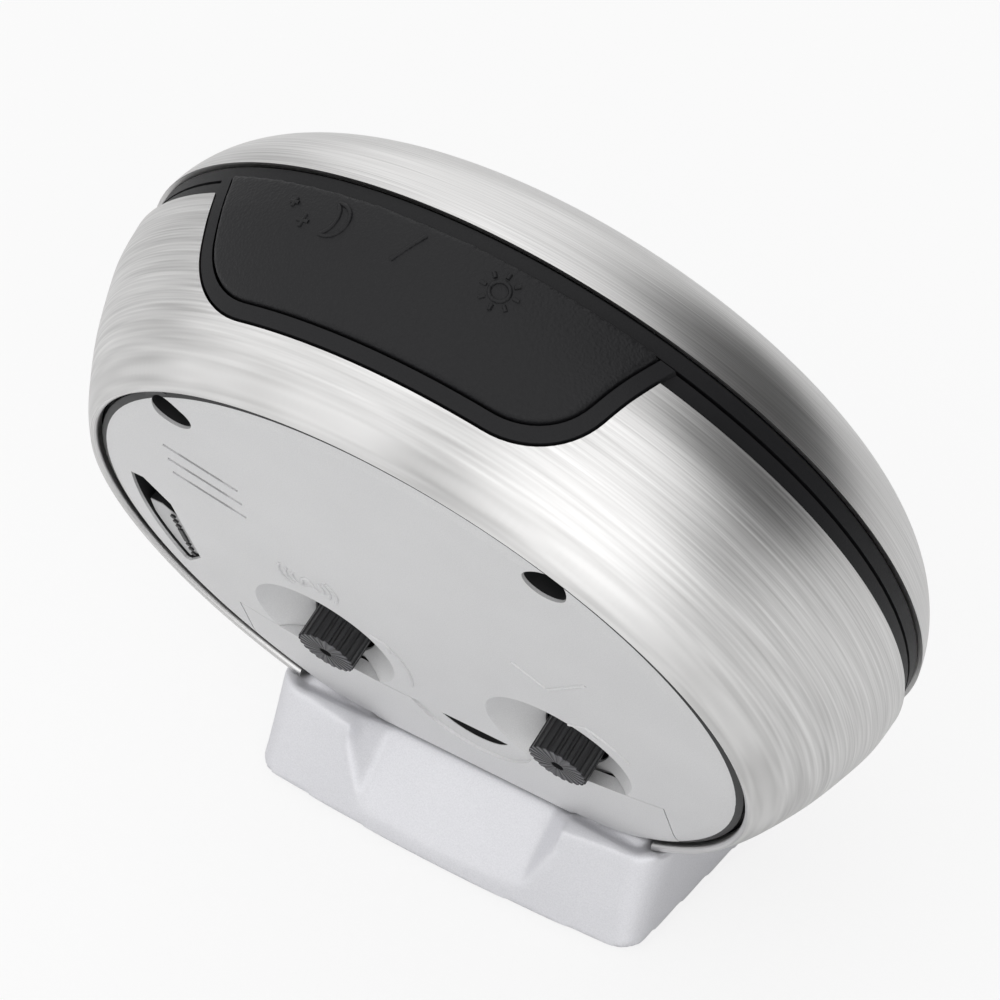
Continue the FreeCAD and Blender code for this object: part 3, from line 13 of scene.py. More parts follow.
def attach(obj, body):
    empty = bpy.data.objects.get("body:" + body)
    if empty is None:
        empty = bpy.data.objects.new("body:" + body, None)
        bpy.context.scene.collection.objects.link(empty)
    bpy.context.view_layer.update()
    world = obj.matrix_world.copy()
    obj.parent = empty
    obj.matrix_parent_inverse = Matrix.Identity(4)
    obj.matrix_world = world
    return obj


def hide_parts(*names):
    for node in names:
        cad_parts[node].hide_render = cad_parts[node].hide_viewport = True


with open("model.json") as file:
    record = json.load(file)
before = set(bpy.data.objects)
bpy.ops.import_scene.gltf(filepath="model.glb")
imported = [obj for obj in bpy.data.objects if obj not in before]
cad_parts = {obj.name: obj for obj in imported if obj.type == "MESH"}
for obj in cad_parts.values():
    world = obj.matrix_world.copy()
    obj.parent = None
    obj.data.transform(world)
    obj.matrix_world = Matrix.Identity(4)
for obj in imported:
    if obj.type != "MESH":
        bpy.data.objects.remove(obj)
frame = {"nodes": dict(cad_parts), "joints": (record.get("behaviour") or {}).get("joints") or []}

MM = 0.001
FULL_TURN = 2 * math.pi
log = logging.getLogger("bedside_clock")
Profile = Sequence[tuple[float, float]]


class Draw(Enum):
    """The frame that a piece is drawn in."""

    CASE = "case"
    TABLE = "table"


@dataclass(frozen=True)
class CaseSpace:
    """The case's leaned frame in millimetres: +Y to the rear along its axis, +Z to the top of the dial."""

    origin: Vector
    lean: float

    @classmethod
    def from_joint(cls, name: str) -> "CaseSpace":
        """Reads the case's axis from a joint that turns about it.

        Args:
            name: The joint's name.

        Returns:
            The case's frame.
        """
        joint = next(item for item in frame["joints"] if item["name"] == name)
        axis = Vector(joint["axis"])
        return cls(Vector(joint["pos_m"]), math.atan2(-axis.z, axis.y))

    def matrix(self) -> Matrix:
        """Returns the matrix from the case's millimetres to the row's metres."""
        return Matrix.Translation(self.origin) @ Matrix.Rotation(-self.lean, 4, "X") @ Matrix.Scale(MM, 4)

    def back(self) -> Matrix:
        """Returns the matrix from the row's metres to the case's millimetres."""
        return self.matrix().inverted()


CASE = CaseSpace.from_joint("minute_hand_turn")
TABLE_MATRIX = Matrix.Scale(MM, 4)


class Wire:
    """A number socket that takes part in ordinary arithmetic."""

    def __init__(self, graph: "Graph", socket: bpy.types.NodeSocket) -> None:
        """Keeps the socket and the graph that its Math nodes go into."""
        self.graph = graph
        self.socket = socket

    def _math(self, operation: str, first: Any, second: Any = None) -> "Wire":
        """Adds one Math node.

        Args:
            operation: The node's operation.
            first: The first wire or number.
            second: The second wire or number, if it has one.

        Returns:
            The node's output.
        """
        values = {0: first} if second is None else {0: first, 1: second}
        return self.graph.wire("ShaderNodeMath", {"operation": operation}, values)

    def __add__(self, other: Any) -> "Wire":
        """Returns the sum."""
        return self._math("ADD", self, other)

    __radd__ = __add__

    def __sub__(self, other: Any) -> "Wire":
        """Returns the difference."""
        return self._math("SUBTRACT", self, other)

    def __rsub__(self, other: Any) -> "Wire":
        """Returns the difference the other way round."""
        return self._math("SUBTRACT", other, self)

    def __mul__(self, other: Any) -> "Wire":
        """Returns the product."""
        return self._math("MULTIPLY", self, other)

    __rmul__ = __mul__

    def __truediv__(self, other: Any) -> "Wire":
        """Returns the quotient."""
        return self._math("DIVIDE", self, other)

    def __pow__(self, other: Any) -> "Wire":
        """Returns the power."""
        return self._math("POWER", self, other)

    def least(self, other: Any) -> "Wire":
        """Returns the smaller of the two."""
        return self._math("MINIMUM", self, other)

    def most(self, other: Any) -> "Wire":
        """Returns the larger of the two."""
        return self._math("MAXIMUM", self, other)

    def size(self) -> "Wire":
        """Returns the value without its sign."""
        return self._math("ABSOLUTE", self)

    def turn(self, along: "Wire") -> "Wire":
        """Returns the angle of the point that lies this far up and that far along."""
        return self._math("ARCTAN2", self, along)

    def above(self, limit: Any) -> "Wire":
        """Returns 1 where the value is over the limit, and 0 elsewhere."""
        return self._math("GREATER_THAN", self, limit)

    def wave(self) -> "Wire":
        """Returns the sine."""
        return self._math("SINE", self)


class Graph:
    """The node tree of one finish."""

    def __init__(self, name: str) -> None:
        """Starts an empty material with an output."""
        self.material = bpy.data.materials.new(name)
        self.material.use_nodes = True
        self.tree = self.material.node_tree
        self.tree.nodes.clear()
        self.output = self.node("ShaderNodeOutputMaterial")

    def node(self, kind: str, settings: Mapping[str, Any] | None = None,
             values: Mapping[Any, Any] | None = None) -> bpy.types.Node:
        """Adds a node.

        Args:
            kind: The node's type.
            settings: Its settings; stops holds a colour ramp's places and colours.
            values: Its sockets' numbers, colours, wires or sockets, by name or index.

        Returns:
            The node.
        """
        node = self.tree.nodes.new(kind)
        for key, value in (settings or {}).items():
            if key == "stops":
                self._stops(node, value)
            else:
                setattr(node, key, value)
        for key, value in (values or {}).items():
            source = value.socket if isinstance(value, Wire) else value
            if isinstance(source, bpy.types.NodeSocket):
                self.tree.links.new(source, node.inputs[key])
            else:
                node.inputs[key].default_value = source
        return node

    @staticmethod
    def _stops(node: bpy.types.Node, stops: Sequence[tuple[float, Sequence[float]]]) -> None:
        """Sets a colour ramp's stops.

        Args:
            node: The colour ramp.
            stops: Its places and colours.
        """
        elements = node.color_ramp.elements
        while len(elements) < len(stops):
            elements.new(0.5)
        for element, (place, colour) in zip(elements, stops):
            element.position = place
            element.color = (*colour[:3], 1.0)

    def wire(self, kind: str, settings: Mapping[str, Any] | None = None,
             values: Mapping[Any, Any] | None = None, output: Any = 0) -> Wire:
        """Adds a node and returns one of its outputs as a wire."""
        return Wire(self, self.node(kind, settings, values).outputs[output])

    def case_point(self) -> bpy.types.NodeSocket:
        """Returns Object coordinates turned into the case's millimetres."""
        place = self.node("ShaderNodeTexCoord").outputs["Object"]
        back = CASE.back()
        return self.node("ShaderNodeMapping", {"vector_type": "POINT"}, {
            "Vector": place, "Location": back.to_translation(), "Rotation": (CASE.lean, 0.0, 0.0),
            "Scale": (1 / MM, 1 / MM, 1 / MM)}).outputs[0]

    def split(self, vector: bpy.types.NodeSocket) -> tuple[Wire, Wire, Wire]:
        """Returns a vector's three numbers."""
        parts = self.node("ShaderNodeSeparateXYZ", None, {0: vector})
        return Wire(self, parts.outputs[0]), Wire(self, parts.outputs[1]), Wire(self, parts.outputs[2])

    def join(self, x: Any, y: Any, z: Any) -> bpy.types.NodeSocket:
        """Returns a vector made of three numbers."""
        return self.node("ShaderNodeCombineXYZ", None, {0: x, 1: y, 2: z}).outputs[0]

    def noise(self, vector: bpy.types.NodeSocket, scale: float, detail: float = 2.0,
              roughness: float = 0.5) -> Wire:
        """Returns a noise between 0 and 1."""
        return self.wire("ShaderNodeTexNoise", None, {
            "Vector": vector, "Scale": scale, "Detail": detail, "Roughness": roughness})

    def cells(self, vector: bpy.types.NodeSocket, scale: float, softness: float = 0.3) -> Wire:
        """Returns the distance to the nearest of scattered points."""
        return self.wire("ShaderNodeTexVoronoi", {"feature": "SMOOTH_F1"}, {
            "Vector": vector, "Scale": scale, "Smoothness": softness})

    def blend(self, factor: Any, low: Sequence[float], high: Sequence[float]) -> bpy.types.NodeSocket:
        """Returns a colour between two colours."""
        return self.node("ShaderNodeMix", {"data_type": "RGBA"}, {
            "Factor": factor, 6: (*low, 1.0), 7: (*high, 1.0)}).outputs[2]

    def bump(self, height: Any, depth_mm: float, strength: float = 1.0) -> bpy.types.NodeSocket:
        """Returns a normal bent by a height pattern."""
        return self.node("ShaderNodeBump", None, {
            "Height": height, "Distance": depth_mm * MM, "Strength": strength}).outputs[0]

    def surface(self, values: Mapping[str, Any]) -> bpy.types.Material:
        """Ends the material in one Principled node and returns it.

        Args:
            values: The node's numbers, colours, wires or sockets.

        Returns:
            The material.
        """
        shader = self.node("ShaderNodeBsdfPrincipled", None, values)
        self.tree.links.new(shader.outputs[0], self.output.inputs[0])
        return self.material


@dataclass(frozen=True)
class BrushedSteel:
    """Steel brushed round the case's axis, with hairlines that run a long way round."""

    name: str = "steel_brushed_round"
    bright: tuple[float, float, float] = (0.83, 0.825, 0.82)
    dark: tuple[float, float, float] = (0.56, 0.555, 0.55)
    roughness: float = 0.36
    hairline: float = 12.0
    stroke: float = 3.0
    depth: float = 0.006

    def make(self) -> bpy.types.Material:
        """Returns the material."""
        graph = Graph(self.name)
        x, y, z = graph.split(graph.case_point())
        radius = (x * x + z * z) ** 0.5
        across = y * 0.7 + radius
        fine = graph.noise(graph.join(x / radius * self.stroke, across * self.hairline, z / radius * self.stroke),
                           1.0, 1.0, 0.5)
        wide = graph.noise(graph.join(x / radius * 2.0, across * 3.5, z / radius * 2.0), 1.0, 1.0)
        tone = graph.wire("ShaderNodeMapRange", {"clamp": True}, {0: fine * 0.65 + wide * 0.35, 1: 0.30, 2: 0.68})
        return graph.surface({
            "Base Color": graph.blend(tone, self.dark, self.bright), "Metallic": 1.0,
            "Roughness": self.roughness - 0.04 + tone * 0.08,
            "Normal": graph.bump(fine, self.depth, 0.5)})


@dataclass(frozen=True)
class SandedPaint:
    """Silver paint over a finely sanded mould, near black below a set depth under the face: bare black moulding at
    the edges and painted shade in the recesses.
    """

    name: str
    low: tuple[float, float, float]
    high: tuple[float, float, float]
    roughness: float = 0.42
    metallic: float = 0.35
    grain: float = 7.0
    depth: float = 0.02
    # Depth under the face below which the colour is near black: bare black moulding, and painted shade in the
    # recesses.
    paint_depth: float | None = None

    def make(self) -> bpy.types.Material:
        """Returns the material."""
        graph = Graph(self.name)
        point = graph.case_point()
        sand = graph.noise(point, self.grain, 2.0, 0.6)
        flakes = graph.noise(point, self.grain * 2.3, 1.0)
        cloud = graph.noise(point, 0.06, 2.0)
        tone = graph.wire("ShaderNodeMapRange", {"clamp": True},
                          {0: sand * 0.45 + flakes * 0.35 + cloud * 0.2, 1: 0.33, 2: 0.67})
        colour = graph.blend(tone, self.low, self.high)
        metallic: Any = self.metallic
        if self.paint_depth is not None:
            # Near black under the face: bare black moulding, and painted shade in the pockets, wells and slots.
            painted = self.painted(graph)
            colour = graph.node("ShaderNodeMix", {"data_type": "RGBA"}, {
                "Factor": painted, 6: (0.010, 0.010, 0.011, 1.0), 7: colour}).outputs[2]
            metallic = painted * self.metallic
        return graph.surface({
            "Base Color": colour, "Metallic": metallic, "Roughness": self.roughness + flakes * 0.12,
            "Normal": graph.bump(sand, self.depth, 0.5)})

    def painted(self, graph: Graph) -> Wire:
        """Returns 1 on the cover's face and in its dishes, and 0 deeper down, where bare black moulding shows and
        shade is painted into the pockets, wells and slots.

        Args:
            graph: The finish's graph.

        Returns:
            The mask.
        """
        cover = RearCover()
        x, y, z = graph.split(graph.case_point())
        off_x = x.size() - cover.knob_x
        off_z = z - cover.dish_z
        inside = (cover.ball_r() ** 2 - (off_x * off_x + off_z * off_z)).most(0.0)
        bowl = cover.y - cover.dish_depth + cover.ball_r() - inside ** 0.5
        return y.above(bowl.least(cover.y) - self.paint_depth)


@dataclass(frozen=True)
class GrainedPlastic:
    """Moulded plastic with a leather-like grain."""

    name: str
    tint: tuple[float, float, float]
    roughness: float = 0.42
    grain: float = 2.6
    depth: float = 0.05
    lift: float = 1.5

    def make(self) -> bpy.types.Material:
        """Returns the material."""
        graph = Graph(self.name)
        point = graph.case_point()
        wander = graph.node("ShaderNodeTexNoise", None, {"Vector": point, "Scale": 1.1, "Detail": 2.0}).outputs[1]
        bent = graph.node("ShaderNodeVectorMath", {"operation": "MULTIPLY_ADD"},
                          {0: wander, 1: (0.7, 0.7, 0.7), 2: point}).outputs[0]
        pebbles = graph.cells(bent, self.grain)
        dust = graph.noise(point, self.grain * 3.0, 2.0, 0.6)
        cloud = graph.noise(point, 0.09, 3.0)
        light = tuple(min(1.0, part * self.lift) for part in self.tint)
        return graph.surface({
            "Base Color": graph.blend(cloud * 0.6 + dust * 0.4, self.tint, light), "Specular IOR Level": 0.3,
            "Roughness": self.roughness + cloud * 0.10 + pebbles * 0.08,
            "Normal": graph.bump(pebbles * 0.8 + dust * 0.2, self.depth, 0.6)})


@dataclass(frozen=True)
class FlutedKnob:
    """Black knob plastic whose flutes run on over the end as rays, with painted highlights that lighten the rays
    towards the rim.
    """

    name: str = "black_knob"
    tint: tuple[float, float, float] = (0.010, 0.010, 0.011)
    rays: int = 22
    # How much lighter the painted highlights on the rays are than the black plastic.
    ray_lift: float = 9.0
    end_y: float = 25.3
    depth: float = 0.55

    def make(self) -> bpy.types.Material:
        """Returns the material."""
        graph = Graph(self.name)
        cover = RearCover()
        point = graph.case_point()
        x, y, z = graph.split(point)
        off_x = x.size() - cover.knob_x
        off_z = z - cover.knob_z
        reach = (off_x * off_x + off_z * off_z) ** 0.5
        rays = (off_z.turn(off_x) * self.rays).wave() * 0.5 + 0.5
        on_end = y.above(self.end_y)
        ridge_and_highlight = rays * reach * on_end / cover.knob_r
        dust = graph.noise(point, 5.0, 2.0, 0.6)
        return graph.surface({
            # The rays are painted lighter towards the rim: painted highlights on the end's facets over black
            # plastic. The same pattern also bumps the surface.
            "Base Color": graph.blend(dust * 0.12 + ridge_and_highlight * 0.88, self.tint,
                                      tuple(part * self.ray_lift for part in self.tint)),
            "Roughness": 0.34 + dust * 0.12, "Normal": graph.bump(ridge_and_highlight + dust * 0.02, self.depth, 0.8)})


@dataclass(frozen=True)
class SlideCap:
    """Black slider whose top face is light grey, with black marks standing above it."""

    name: str = "slider_grey_top"
    top: float = 23.6
    marks: float = 23.8

    def make(self) -> bpy.types.Material:
        """Returns the material."""
        graph = Graph(self.name)
        point = graph.case_point()
        y = graph.split(point)[1]
        # Light grey between the top's and the marks' heights, black elsewhere.
        painted = y.above(self.top) - y.above(self.marks)
        dust = graph.noise(point, 6.0, 2.0, 0.6)
        return graph.surface({
            "Base Color": graph.blend(painted, (0.014, 0.014, 0.015), (0.50, 0.50, 0.505)),
            "Roughness": 0.40 + dust * 0.14, "Normal": graph.bump(dust, 0.02, 0.5)})


@dataclass(frozen=True)
class SmoothPlastic:
    """Plain moulded plastic with slight flow marks."""

    name: str
    tint: tuple[float, float, float]
    roughness: float = 0.4
    metallic: float = 0.0
    coat: float = 0.0

    def make(self) -> bpy.types.Material:
        """Returns the material."""
        graph = Graph(self.name)
        point = graph.case_point()
        flow = graph.noise(point, 0.35, 3.0)
        fleck = graph.noise(point, 9.0, 1.0)
        light = tuple(min(1.0, part * 1.25 + 0.01) for part in self.tint)
        return graph.surface({
            "Base Color": graph.blend(flow * 0.7 + fleck * 0.3, self.tint, light), "Metallic": self.metallic,
            "Roughness": self.roughness + flow * 0.12, "Coat Weight": self.coat,
            "Normal": graph.bump(fleck, 0.004, 0.4)})


@dataclass(frozen=True)
class CircuitLaminate:
    """Green circuit laminate with copper tracks under its lacquer."""

    name: str = "circuit_laminate"

    def make(self) -> bpy.types.Material:
        """Returns the material."""
        graph = Graph(self.name)
        x, y, z = graph.split(graph.case_point())
        bend = graph.noise(graph.join(x * 0.2, y * 0.2, z * 0.2), 1.0, 1.0)
        track = ((x * 2.4 + bend * 14.0).wave() * 0.5 + 0.5).above(0.72)
        fleck = graph.noise(graph.join(x, y, z), 3.0, 2.0)
        return graph.surface({
            "Base Color": graph.blend(track, (0.02, 0.14, 0.06), (0.08, 0.30, 0.12)),
            "Roughness": 0.3 + fleck * 0.15, "Normal": graph.bump(track, 0.03, 0.6)})


@dataclass(frozen=True)
class WoundCopper:
    """Enamelled copper wire in tight turns along X, lighter on each turn's crest and darker in the grooves:
    painted highlight and painted shade.
    """

    name: str = "wound_copper"
    turns_per_mm: float = 5.0

    def make(self) -> bpy.types.Material:
        """Returns the material."""
        graph = Graph(self.name)
        x = graph.split(graph.case_point())[0]
        turn = (x * (self.turns_per_mm * FULL_TURN)).wave() * 0.5 + 0.5
        return graph.surface({
            # Lighter on the turns' crests and darker in the grooves between them: painted highlight and painted
            # shade.
            "Base Color": graph.blend(turn, (0.28, 0.08, 0.02), (0.78, 0.33, 0.14)), "Metallic": 0.9,
            "Roughness": 0.4 - turn * 0.12, "Normal": graph.bump(turn, 0.08, 0.7)})


@dataclass(frozen=True)
class CellSleeve:
    """The cell's shrunk sleeve: one plain band of colour at its plus end and a darker body."""

    name: str = "cell_sleeve"
    band_x: float = 14.0
    nub_x: float = 26.4

    def make(self) -> bpy.types.Material:
        """Returns the material."""
        graph = Graph(self.name)
        x, y, z = graph.split(graph.case_point())
        band = x.above(self.band_x)
        bare = x.above(self.nub_x)
        sleeve = graph.blend(band, (0.02, 0.05, 0.16), (0.55, 0.30, 0.06))
        colour = graph.node("ShaderNodeMix", {"data_type": "RGBA"}, {
            "Factor": bare, 6: sleeve, 7: (0.7, 0.7, 0.68, 1.0)}).outputs[2]
        scuff = graph.noise(graph.join(x, y, z), 0.8, 4.0)
        return graph.surface({"Base Color": colour, "Metallic": bare, "Roughness": 0.22 + scuff * 0.2,
                              "Normal": graph.bump(scuff, 0.01, 0.3)})


@dataclass(frozen=True)
class ClearPane:
    """A thin clear pane that shows what is behind it and mirrors at a slant."""

    name: str = "clear_pane"

    def make(self) -> bpy.types.Material:
        """Returns the material."""
        graph = Graph(self.name)
        slant = graph.node("ShaderNodeFresnel", None, {"IOR": 1.45}).outputs[0]
        through = graph.node("ShaderNodeBsdfTransparent", None, {"Color": (0.97, 0.98, 0.98, 1.0)})
        shine = graph.node("ShaderNodeBsdfPrincipled", None, {
            "Base Color": (0.95, 0.95, 0.95, 1.0), "Metallic": 1.0, "Roughness": 0.03})
        mixed = graph.node("ShaderNodeMixShader", None, {0: slant, 1: through.outputs[0], 2: shine.outputs[0]})
        graph.tree.links.new(mixed.outputs[0], graph.output.inputs[0])
        return graph.material


class Rack:
    """The finishes of the clock, each made once."""

    def __init__(self) -> None:
        """Lists the finishes by a plain name."""
        self.made: dict[str, bpy.types.Material] = {}
        self.finishes: dict[str, Any] = {
            "steel": BrushedSteel(),
            # The cover and the door are near black below this depth under the face: bare moulding, and painted
            # shade in their recesses.
            "cover": SandedPaint("silver_sanded_cover", (0.62, 0.62, 0.625), (0.75, 0.75, 0.755),
                                 paint_depth=0.38),
            "door": SandedPaint("silver_sanded_door", (0.62, 0.62, 0.625), (0.75, 0.75, 0.755),
                                paint_depth=0.48),
            "foot": SandedPaint("silver_cast_foot", (0.70, 0.70, 0.73), (0.82, 0.82, 0.85), 0.40, 0.45, 5.0, 0.03),
            "button": GrainedPlastic("black_leather_grain", (0.008, 0.008, 0.009), 0.44, 2.7, 0.10),
            "band": GrainedPlastic("black_fine_grain", (0.006, 0.006, 0.007), 0.46, 5.0, 0.02),
            "knob": FlutedKnob(),
            "slide": SlideCap(),
            "white": SmoothPlastic("white_moulding", (0.74, 0.73, 0.70)),
            "natural": SmoothPlastic("natural_gear_moulding", (0.66, 0.62, 0.50), 0.32),
            "chip": SmoothPlastic("chip_epoxy", (0.015, 0.015, 0.017), 0.5),
            "dial": SmoothPlastic("dial_paper_white", (0.80, 0.80, 0.78), 0.55),
            "print": SmoothPlastic("dial_print_black", (0.012, 0.012, 0.014), 0.5),
            "hand": SmoothPlastic("hand_black_enamel", (0.010, 0.010, 0.012), 0.25, 0.0, 0.4),
            "red": SmoothPlastic("hand_red_enamel", (0.62, 0.03, 0.02), 0.25, 0.0, 0.4),
            "nickel": SmoothPlastic("nickel_plate", (0.60, 0.58, 0.55), 0.22, 1.0),
            "rubber": SmoothPlastic("pad_rubber", (0.035, 0.035, 0.037), 0.7),
            "lamp": SmoothPlastic("lamp_resin", (0.85, 0.85, 0.80), 0.15, 0.0, 0.6),
            "laminate": CircuitLaminate(),
            "copper": WoundCopper(),
            "cell": CellSleeve(),
            "pane": ClearPane(),
        }

    def __getitem__(self, key: str) -> bpy.types.Material:
        """Returns a finish's material, made on first use.

        Args:
            key: The finish's plain name.

        Returns:
            The material.
        """
        if key not in self.made:
            self.made[key] = self.finishes[key].make()
        return self.made[key]


RACK = Rack()


def arc_through(first: tuple[float, float], middle: tuple[float, float], last: tuple[float, float],
                count: int) -> list[tuple[float, float]]:
    """Lays points along the circle through three points.

    Args:
        first: Where the arc starts.
        middle: A point that it passes.
        last: Where it ends.
        count: How many steps it has.

    Returns:
        The points, both ends included.
    """
    ax, ay = first
    bx, by = middle
    cx, cy = last
    d = 2 * (ax * (by - cy) + bx * (cy - ay) + cx * (ay - by))
    ux = ((ax * ax + ay * ay) * (by - cy) + (bx * bx + by * by) * (cy - ay) + (cx * cx + cy * cy) * (ay - by)) / d
    uy = ((ax * ax + ay * ay) * (cx - bx) + (bx * bx + by * by) * (ax - cx) + (cx * cx + cy * cy) * (bx - ax)) / d
    radius = math.hypot(ax - ux, ay - uy)
    start, mid, end = (math.atan2(py - uy, px - ux) for px, py in (first, middle, last))
    sweep = (end - start) % FULL_TURN
    if (mid - start) % FULL_TURN > sweep:
        sweep -= FULL_TURN
    return [(ux + radius * math.cos(start + sweep * i / count), uy + radius * math.sin(start + sweep * i / count))
            for i in range(count + 1)]


def smooth_through(points: Profile, per_span: int) -> list[tuple[float, float]]:
    """Lays points on a smooth line through given points.

    Args:
        points: The points to pass.
        per_span: How many steps each span has.

    Returns:
        The points, both ends included.
    """
    padded = [points[0], *points, points[-1]]
    line = []
    for index in range(1, len(padded) - 2):
        p0, p1, p2, p3 = padded[index - 1:index + 3]
        for step in range(per_span):
            t = step / per_span
            line.append(tuple(0.5 * (2 * b + (c - a) * t + (2 * a - 5 * b + 4 * c - d) * t * t
                                     + (3 * b - a - 3 * c + d) * t ** 3) for a, b, c, d in zip(p0, p1, p2, p3)))
    return line + [tuple(points[-1])]


def spun(profile: Profile, steps: int = 240) -> bmesh.types.BMesh:
    """Turns a closed profile of radius and y about the case's axis.

    Args:
        profile: The profile's corners.
        steps: How many steps the turn has.

    Returns:
        A closed bmesh in the case's millimetres.
    """
    bm = bmesh.new()
    verts = [bm.verts.new((radius, y, 0.0)) for radius, y in profile]
    edges = [bm.edges.new(pair) for pair in zip(verts, verts[1:] + verts[:1])]
    bmesh.ops.spin(bm, geom=[*verts, *edges], cent=(0, 0, 0), axis=(0, 1, 0), dvec=(0, 0, 0),
                   angle=FULL_TURN, steps=steps, use_merge=True, use_duplicate=False)
    bmesh.ops.remove_doubles(bm, verts=bm.verts[:], dist=1e-4)
    bmesh.ops.recalc_face_normals(bm, faces=bm.faces[:])
    return bm


def prism(outline: Sequence[Vector], push: Vector) -> bmesh.types.BMesh:
    """Pushes a flat outline into a closed solid.

    Args:
        outline: The outline's corners.
        push: How far and which way it is pushed.

    Returns:
        A closed bmesh.
    """
    bm = bmesh.new()
    face = bm.faces.new([bm.verts.new(point) for point in outline])
    top = bmesh.ops.extrude_face_region(bm, geom=[face])
    moved = [item for item in top["geom"] if isinstance(item, bmesh.types.BMVert)]
    bmesh.ops.translate(bm, verts=moved, vec=push)
    bmesh.ops.recalc_face_normals(bm, faces=bm.faces[:])
    return bm


def plain_object(name: str, bm: bmesh.types.BMesh) -> bpy.types.Object:
    """Makes an object of a bmesh and frees it.

    Args:
        name: The object's name.
        bm: The bmesh.

    Returns:
        The object, linked to the scene.
    """
    mesh = bpy.data.meshes.new(name)
    bm.to_mesh(mesh)
    bm.free()
    thing = bpy.data.objects.new(name, mesh)
    bpy.context.scene.collection.objects.link(thing)
    return thing


def settle(thing: bpy.types.Object) -> bpy.types.Object:
    """Replaces an object's mesh by what its modifiers make of it.

    Args:
        thing: The object.

    Returns:
        The same object, without modifiers.
    """
    graph = bpy.context.evaluated_depsgraph_get()
    mesh = bpy.data.meshes.new_from_object(thing.evaluated_get(graph))
    thing.modifiers.clear()
    thing.data = mesh
    return thing


def cut(thing: bpy.types.Object, tools: Iterable[bmesh.types.BMesh]) -> bpy.types.Object:
    """Cuts solids out of an object.

    Args:
        thing: The object.
        tools: The solids to cut out, which are used up.

    Returns:
        The same object.
    """
    for index, tool in enumerate(tools):
        cutter = plain_object(f"cutter_{index}", tool)
        job = thing.modifiers.new("cut", "BOOLEAN")
        job.operation = "DIFFERENCE"
        job.solver = "EXACT"
        job.object = cutter
        settle(thing)
        bpy.data.objects.remove(cutter)
    return thing


def copy_of(node: str) -> bmesh.types.BMesh:
    """Returns a merged copy of a node's mesh, in the row's metres.

    Args:
        node: The node's name.

    Returns:
        The copy.
    """
    bm = bmesh.new()
    bm.from_mesh(frame["nodes"][node].data)
    bmesh.ops.remove_doubles(bm, verts=bm.verts[:], dist=2e-6)
    return bm


def dress(thing: bpy.types.Object, finish: str, body: str, replaces: Sequence[str] = (),
          sharp: float = 32.0, space: Draw | None = None) -> bpy.types.Object:
    """Gives a piece its place, finish and body.

    Args:
        thing: The piece.
        finish: The finish's name on the rack.
        body: The body that it rides on.
        replaces: The nodes that it stands for.
        sharp: The angle in degrees from which an edge stays sharp.
        space: The frame that its mesh is drawn in, or None where it is in place.

    Returns:
        The piece.
    """
    if space is not None:
        thing.data.transform(CASE.matrix() if space is Draw.CASE else TABLE_MATRIX)
    stale = thing.data.attributes.get("custom_normal")
    if stale is not None:
        thing.data.attributes.remove(stale)
    thing.data.materials.clear()
    thing.data.materials.append(RACK[finish])
    thing.data.shade_smooth()
    thing.data.set_sharp_from_angle(angle=math.radians(sharp))
    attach(thing, body)
    if replaces:
        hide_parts(*replaces)
    log.info("%s: %d faces on %s", thing.name, len(thing.data.polygons), body)
    return thing


def beads(name: str, lines: Iterable[Sequence[Vector]], radius: float) -> bpy.types.Object:
    """Makes rounded strokes along lines.

    Args:
        name: The piece's name.
        lines: The lines, in the case's millimetres.
        radius: The strokes' radius in millimetres.

    Returns:
        One mesh object of all the strokes.
    """
    curve = bpy.data.curves.new(name, "CURVE")
    curve.dimensions = "3D"
    curve.bevel_depth = radius
    curve.bevel_resolution = 2
    curve.use_fill_caps = True
    for points in lines:
        spline = curve.splines.new("POLY")
        spline.points.add(len(points) - 1)
        for place, point in zip(spline.points, points):
            place.co = (*point, 1.0)
    shape = bpy.data.objects.new(f"{name}_line", curve)
    bpy.context.scene.collection.objects.link(shape)
    bpy.context.view_layer.update()
    mesh = bpy.data.meshes.new_from_object(shape.evaluated_get(bpy.context.evaluated_depsgraph_get()))
    bpy.data.objects.remove(shape)
    thing = bpy.data.objects.new(name, mesh)
    bpy.context.scene.collection.objects.link(thing)
    return thing


